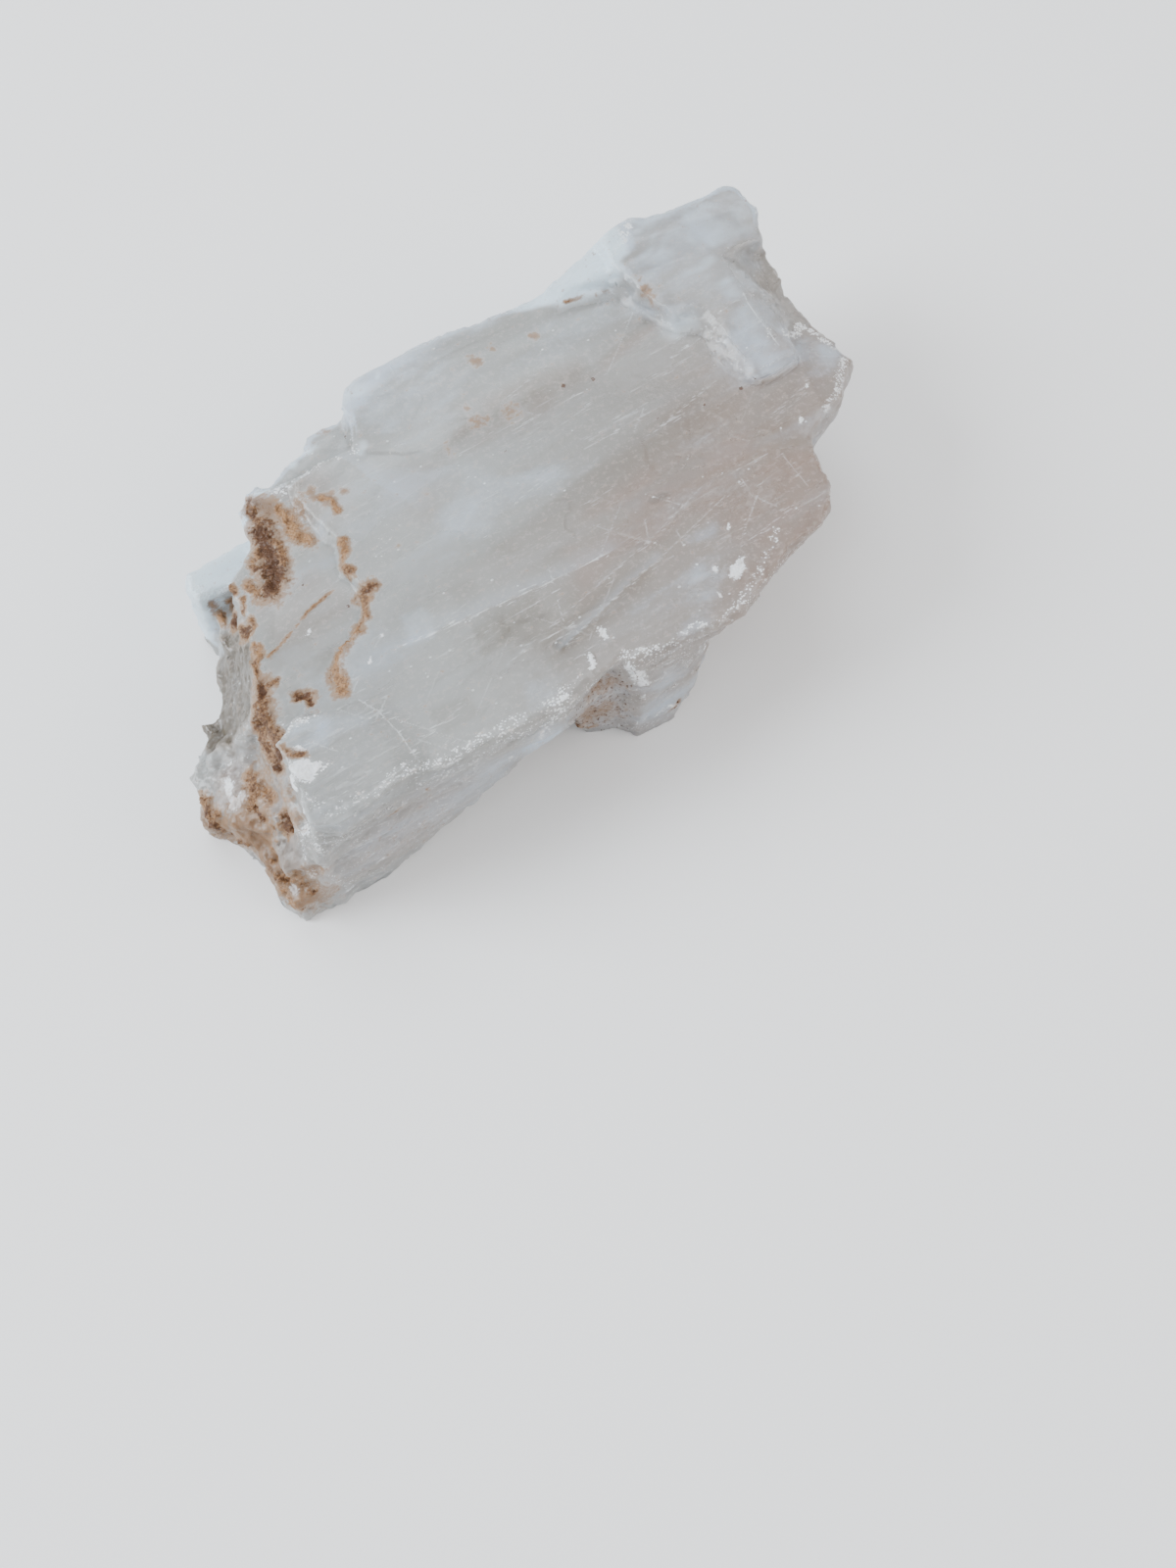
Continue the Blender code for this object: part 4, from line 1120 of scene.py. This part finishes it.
def crystal_finish(settings):
    """Milky crystal that lets light in, under an opaque crust of chalk, clay and specks."""
    look = CrystalLook()
    fine, grit, pale = look.fine, look.grit, look.pale
    frost, white = white_covers(look)
    film, thick_clay, specks, darkness = clay_covers(look)
    stain = look.mix(look.wash.step(0.45, 1.1) * 0.6, settings.tan, settings.rust)
    clay_colour = look.mix(darkness, settings.tan, settings.rust)

    height = look.fibres * (1 - look.clear * 0.8) * 0.2 + fine * 0.25
    height = height + white * (1 - grit) * 1.2 + thick_clay * (1 - grit) * 1.4
    relief_sockets = {"Height": height, "Strength": 0.5, "Distance": 0.00025}
    bump = look.node("ShaderNodeBump", {}, relief_sockets, "Normal")

    stained = look.mix(frost, body_colour(look, settings), settings.chalk)
    stained = look.mix(film, stained, stain)
    crystal = look.node("ShaderNodeBsdfPrincipled", {}, {
        "Base Color": stained,
        "Roughness": (look.cloud - 0.5) * 0.3 + look.wall * 0.08 + 0.24,
        "IOR": 1.52,
        "Transmission Weight": 0.45,
        "Subsurface Weight": 0.7,
        "Subsurface Radius": (1.0, 0.95, 0.9),
        "Subsurface Scale": 0.0035,
        "Normal": bump,
    })
    # Painted light: where the pale tone lies, the crust takes the pale colour as an opaque sheen.
    crust_colour = look.mix(pale, settings.chalk, settings.pale)
    film_share = (film * 2.6).step(0.1, 0.9) * (1 - white * 0.7)
    crust_colour = look.mix(film_share, crust_colour, stain)
    crust_colour = look.mix(thick_clay, crust_colour, clay_colour)
    crust_colour = look.mix(specks, crust_colour, settings.rust)
    crust = look.node("ShaderNodeBsdfPrincipled", {}, {
        "Base Color": crust_colour,
        "Roughness": fine * 0.3 + 0.3,
        "Specular IOR Level": 0.25,
        "Subsurface Weight": 0.2,
        "Subsurface Radius": (1.0, 0.9, 0.8),
        "Subsurface Scale": 0.0008,
        "Normal": bump,
    })
    covered = (thick_clay * 0.95).larger(white).larger(specks * 0.8)
    # The pale share of this cover is the painted sheen.
    covered = covered.larger(film * 0.9).larger(pale * (look.crumb * 0.5 + 0.25))
    mixed = look.node("ShaderNodeMixShader", {}, {0: covered, 1: crystal, 2: crust})
    volume = look.node("ShaderNodeVolumeAbsorption", {}, {"Color": (0.90, 0.90, 0.88, 1.0), "Density": 12.0})
    look.finish(mixed, volume)
    return look.material


class SELENITE_OT_crystal(bpy.types.Operator):
    """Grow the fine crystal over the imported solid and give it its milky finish"""

    bl_idname = "selenite.crystal"
    bl_label = "Crystal plate"

    def execute(self, context):
        settings = context.scene.selenite_crystal
        crystal = fine_copy("crystal_plate", settings.grain)
        shape_crystal(crystal, settings.triangles)
        crystal.data.materials.clear()
        crystal.data.materials.append(crystal_finish(settings))
        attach(crystal, "root")
        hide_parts(NODE)
        return {"FINISHED"}


# --------------------------------------------------
# Stage
# --------------------------------------------------

def table_finish(colour):
    look = Surface("pale table")
    tone = look.noise((250, 250, 250), 2.0)
    shade = look.mix(tone.step(0.3, 0.7) * 0.05, colour, (0.80, 0.80, 0.80))
    table = look.node("ShaderNodeBsdfPrincipled", {}, {"Base Color": shade, "Roughness": 0.7})
    look.finish(table)
    return look.material


def make_table(settings):
    half = settings.table_size / 2
    mesh = bpy.data.meshes.new("table")
    corners = [(-half, -half, 0), (half, -half, 0), (half, half, 0), (-half, half, 0)]
    mesh.from_pydata(corners, [], [(0, 1, 2, 3)])
    mesh.materials.append(table_finish(settings.table))
    table = bpy.data.objects.new("table", mesh)
    bpy.context.scene.collection.objects.link(table)


def aimed(thing, place, aim):
    thing.location = place
    thing.rotation_euler = (Vector(aim) - Vector(place)).to_track_quat("-Z", "Y").to_euler()
    bpy.context.scene.collection.objects.link(thing)


def make_light(name, place, size, power, colour):
    lamp = bpy.data.lights.new(name, "AREA")
    lamp.shape = "DISK"
    lamp.size = size
    lamp.energy = power
    lamp.color = colour
    aimed(bpy.data.objects.new(name, lamp), place, (0, 0, 0))


def make_world(strength):
    world = bpy.data.worlds.new("soft room")
    world.use_nodes = True
    sky = world.node_tree.nodes["Background"]
    sky.inputs["Color"].default_value = (0.97, 0.985, 1.0, 1.0)
    sky.inputs["Strength"].default_value = strength
    bpy.context.scene.world = world


def make_camera(settings):
    camera = bpy.data.cameras.new("camera")
    camera.lens = settings.lens
    camera.sensor_fit = "VERTICAL"
    camera.sensor_height = 36.0
    camera.clip_start = 0.001
    made = bpy.data.objects.new("camera", camera)
    aimed(made, settings.camera_place, settings.camera_aim)
    bpy.context.scene.camera = made


class SELENITE_OT_stage(bpy.types.Operator):
    """Set the pale table, the soft lights and the camera"""

    bl_idname = "selenite.stage"
    bl_label = "Stage"

    def execute(self, context):
        settings = context.scene.selenite_stage
        make_table(settings)
        make_world(settings.room_light)
        make_light("window", (-0.9, 0.45, 0.6), 0.8, settings.window_light, COOL)
        make_light("lamp", (0.7, -0.7, 0.6), 0.8, settings.warm_light, WARM)
        make_light("sheen", (0.10, 0.60, 1.04), 0.7, settings.sheen_light, COOL)
        make_camera(settings)
        return {"FINISHED"}


class SELENITE_PT_panel(bpy.types.Panel):
    """One button for the crystal and one for the stage"""

    bl_label = "Selenite"
    bl_idname = "SELENITE_PT_panel"
    bl_space_type = "VIEW_3D"
    bl_region_type = "UI"
    bl_category = "Selenite"

    def draw(self, context):
        column = self.layout.column()
        column.operator(SELENITE_OT_crystal.bl_idname)
        column.operator(SELENITE_OT_stage.bl_idname)


CLASSES = (
    CrystalSettings,
    StageSettings,
    SELENITE_OT_crystal,
    SELENITE_OT_stage,
    SELENITE_PT_panel,
)


def register():
    for item in CLASSES:
        bpy.utils.register_class(item)
    bpy.types.Scene.selenite_crystal = bpy.props.PointerProperty(type=CrystalSettings)
    bpy.types.Scene.selenite_stage = bpy.props.PointerProperty(type=StageSettings)


def unregister():
    del bpy.types.Scene.selenite_stage
    del bpy.types.Scene.selenite_crystal
    for item in reversed(CLASSES):
        bpy.utils.unregister_class(item)


def main():
    register()
    bpy.ops.selenite.crystal()
    bpy.ops.selenite.stage()


if __name__ == "__main__":
    main()
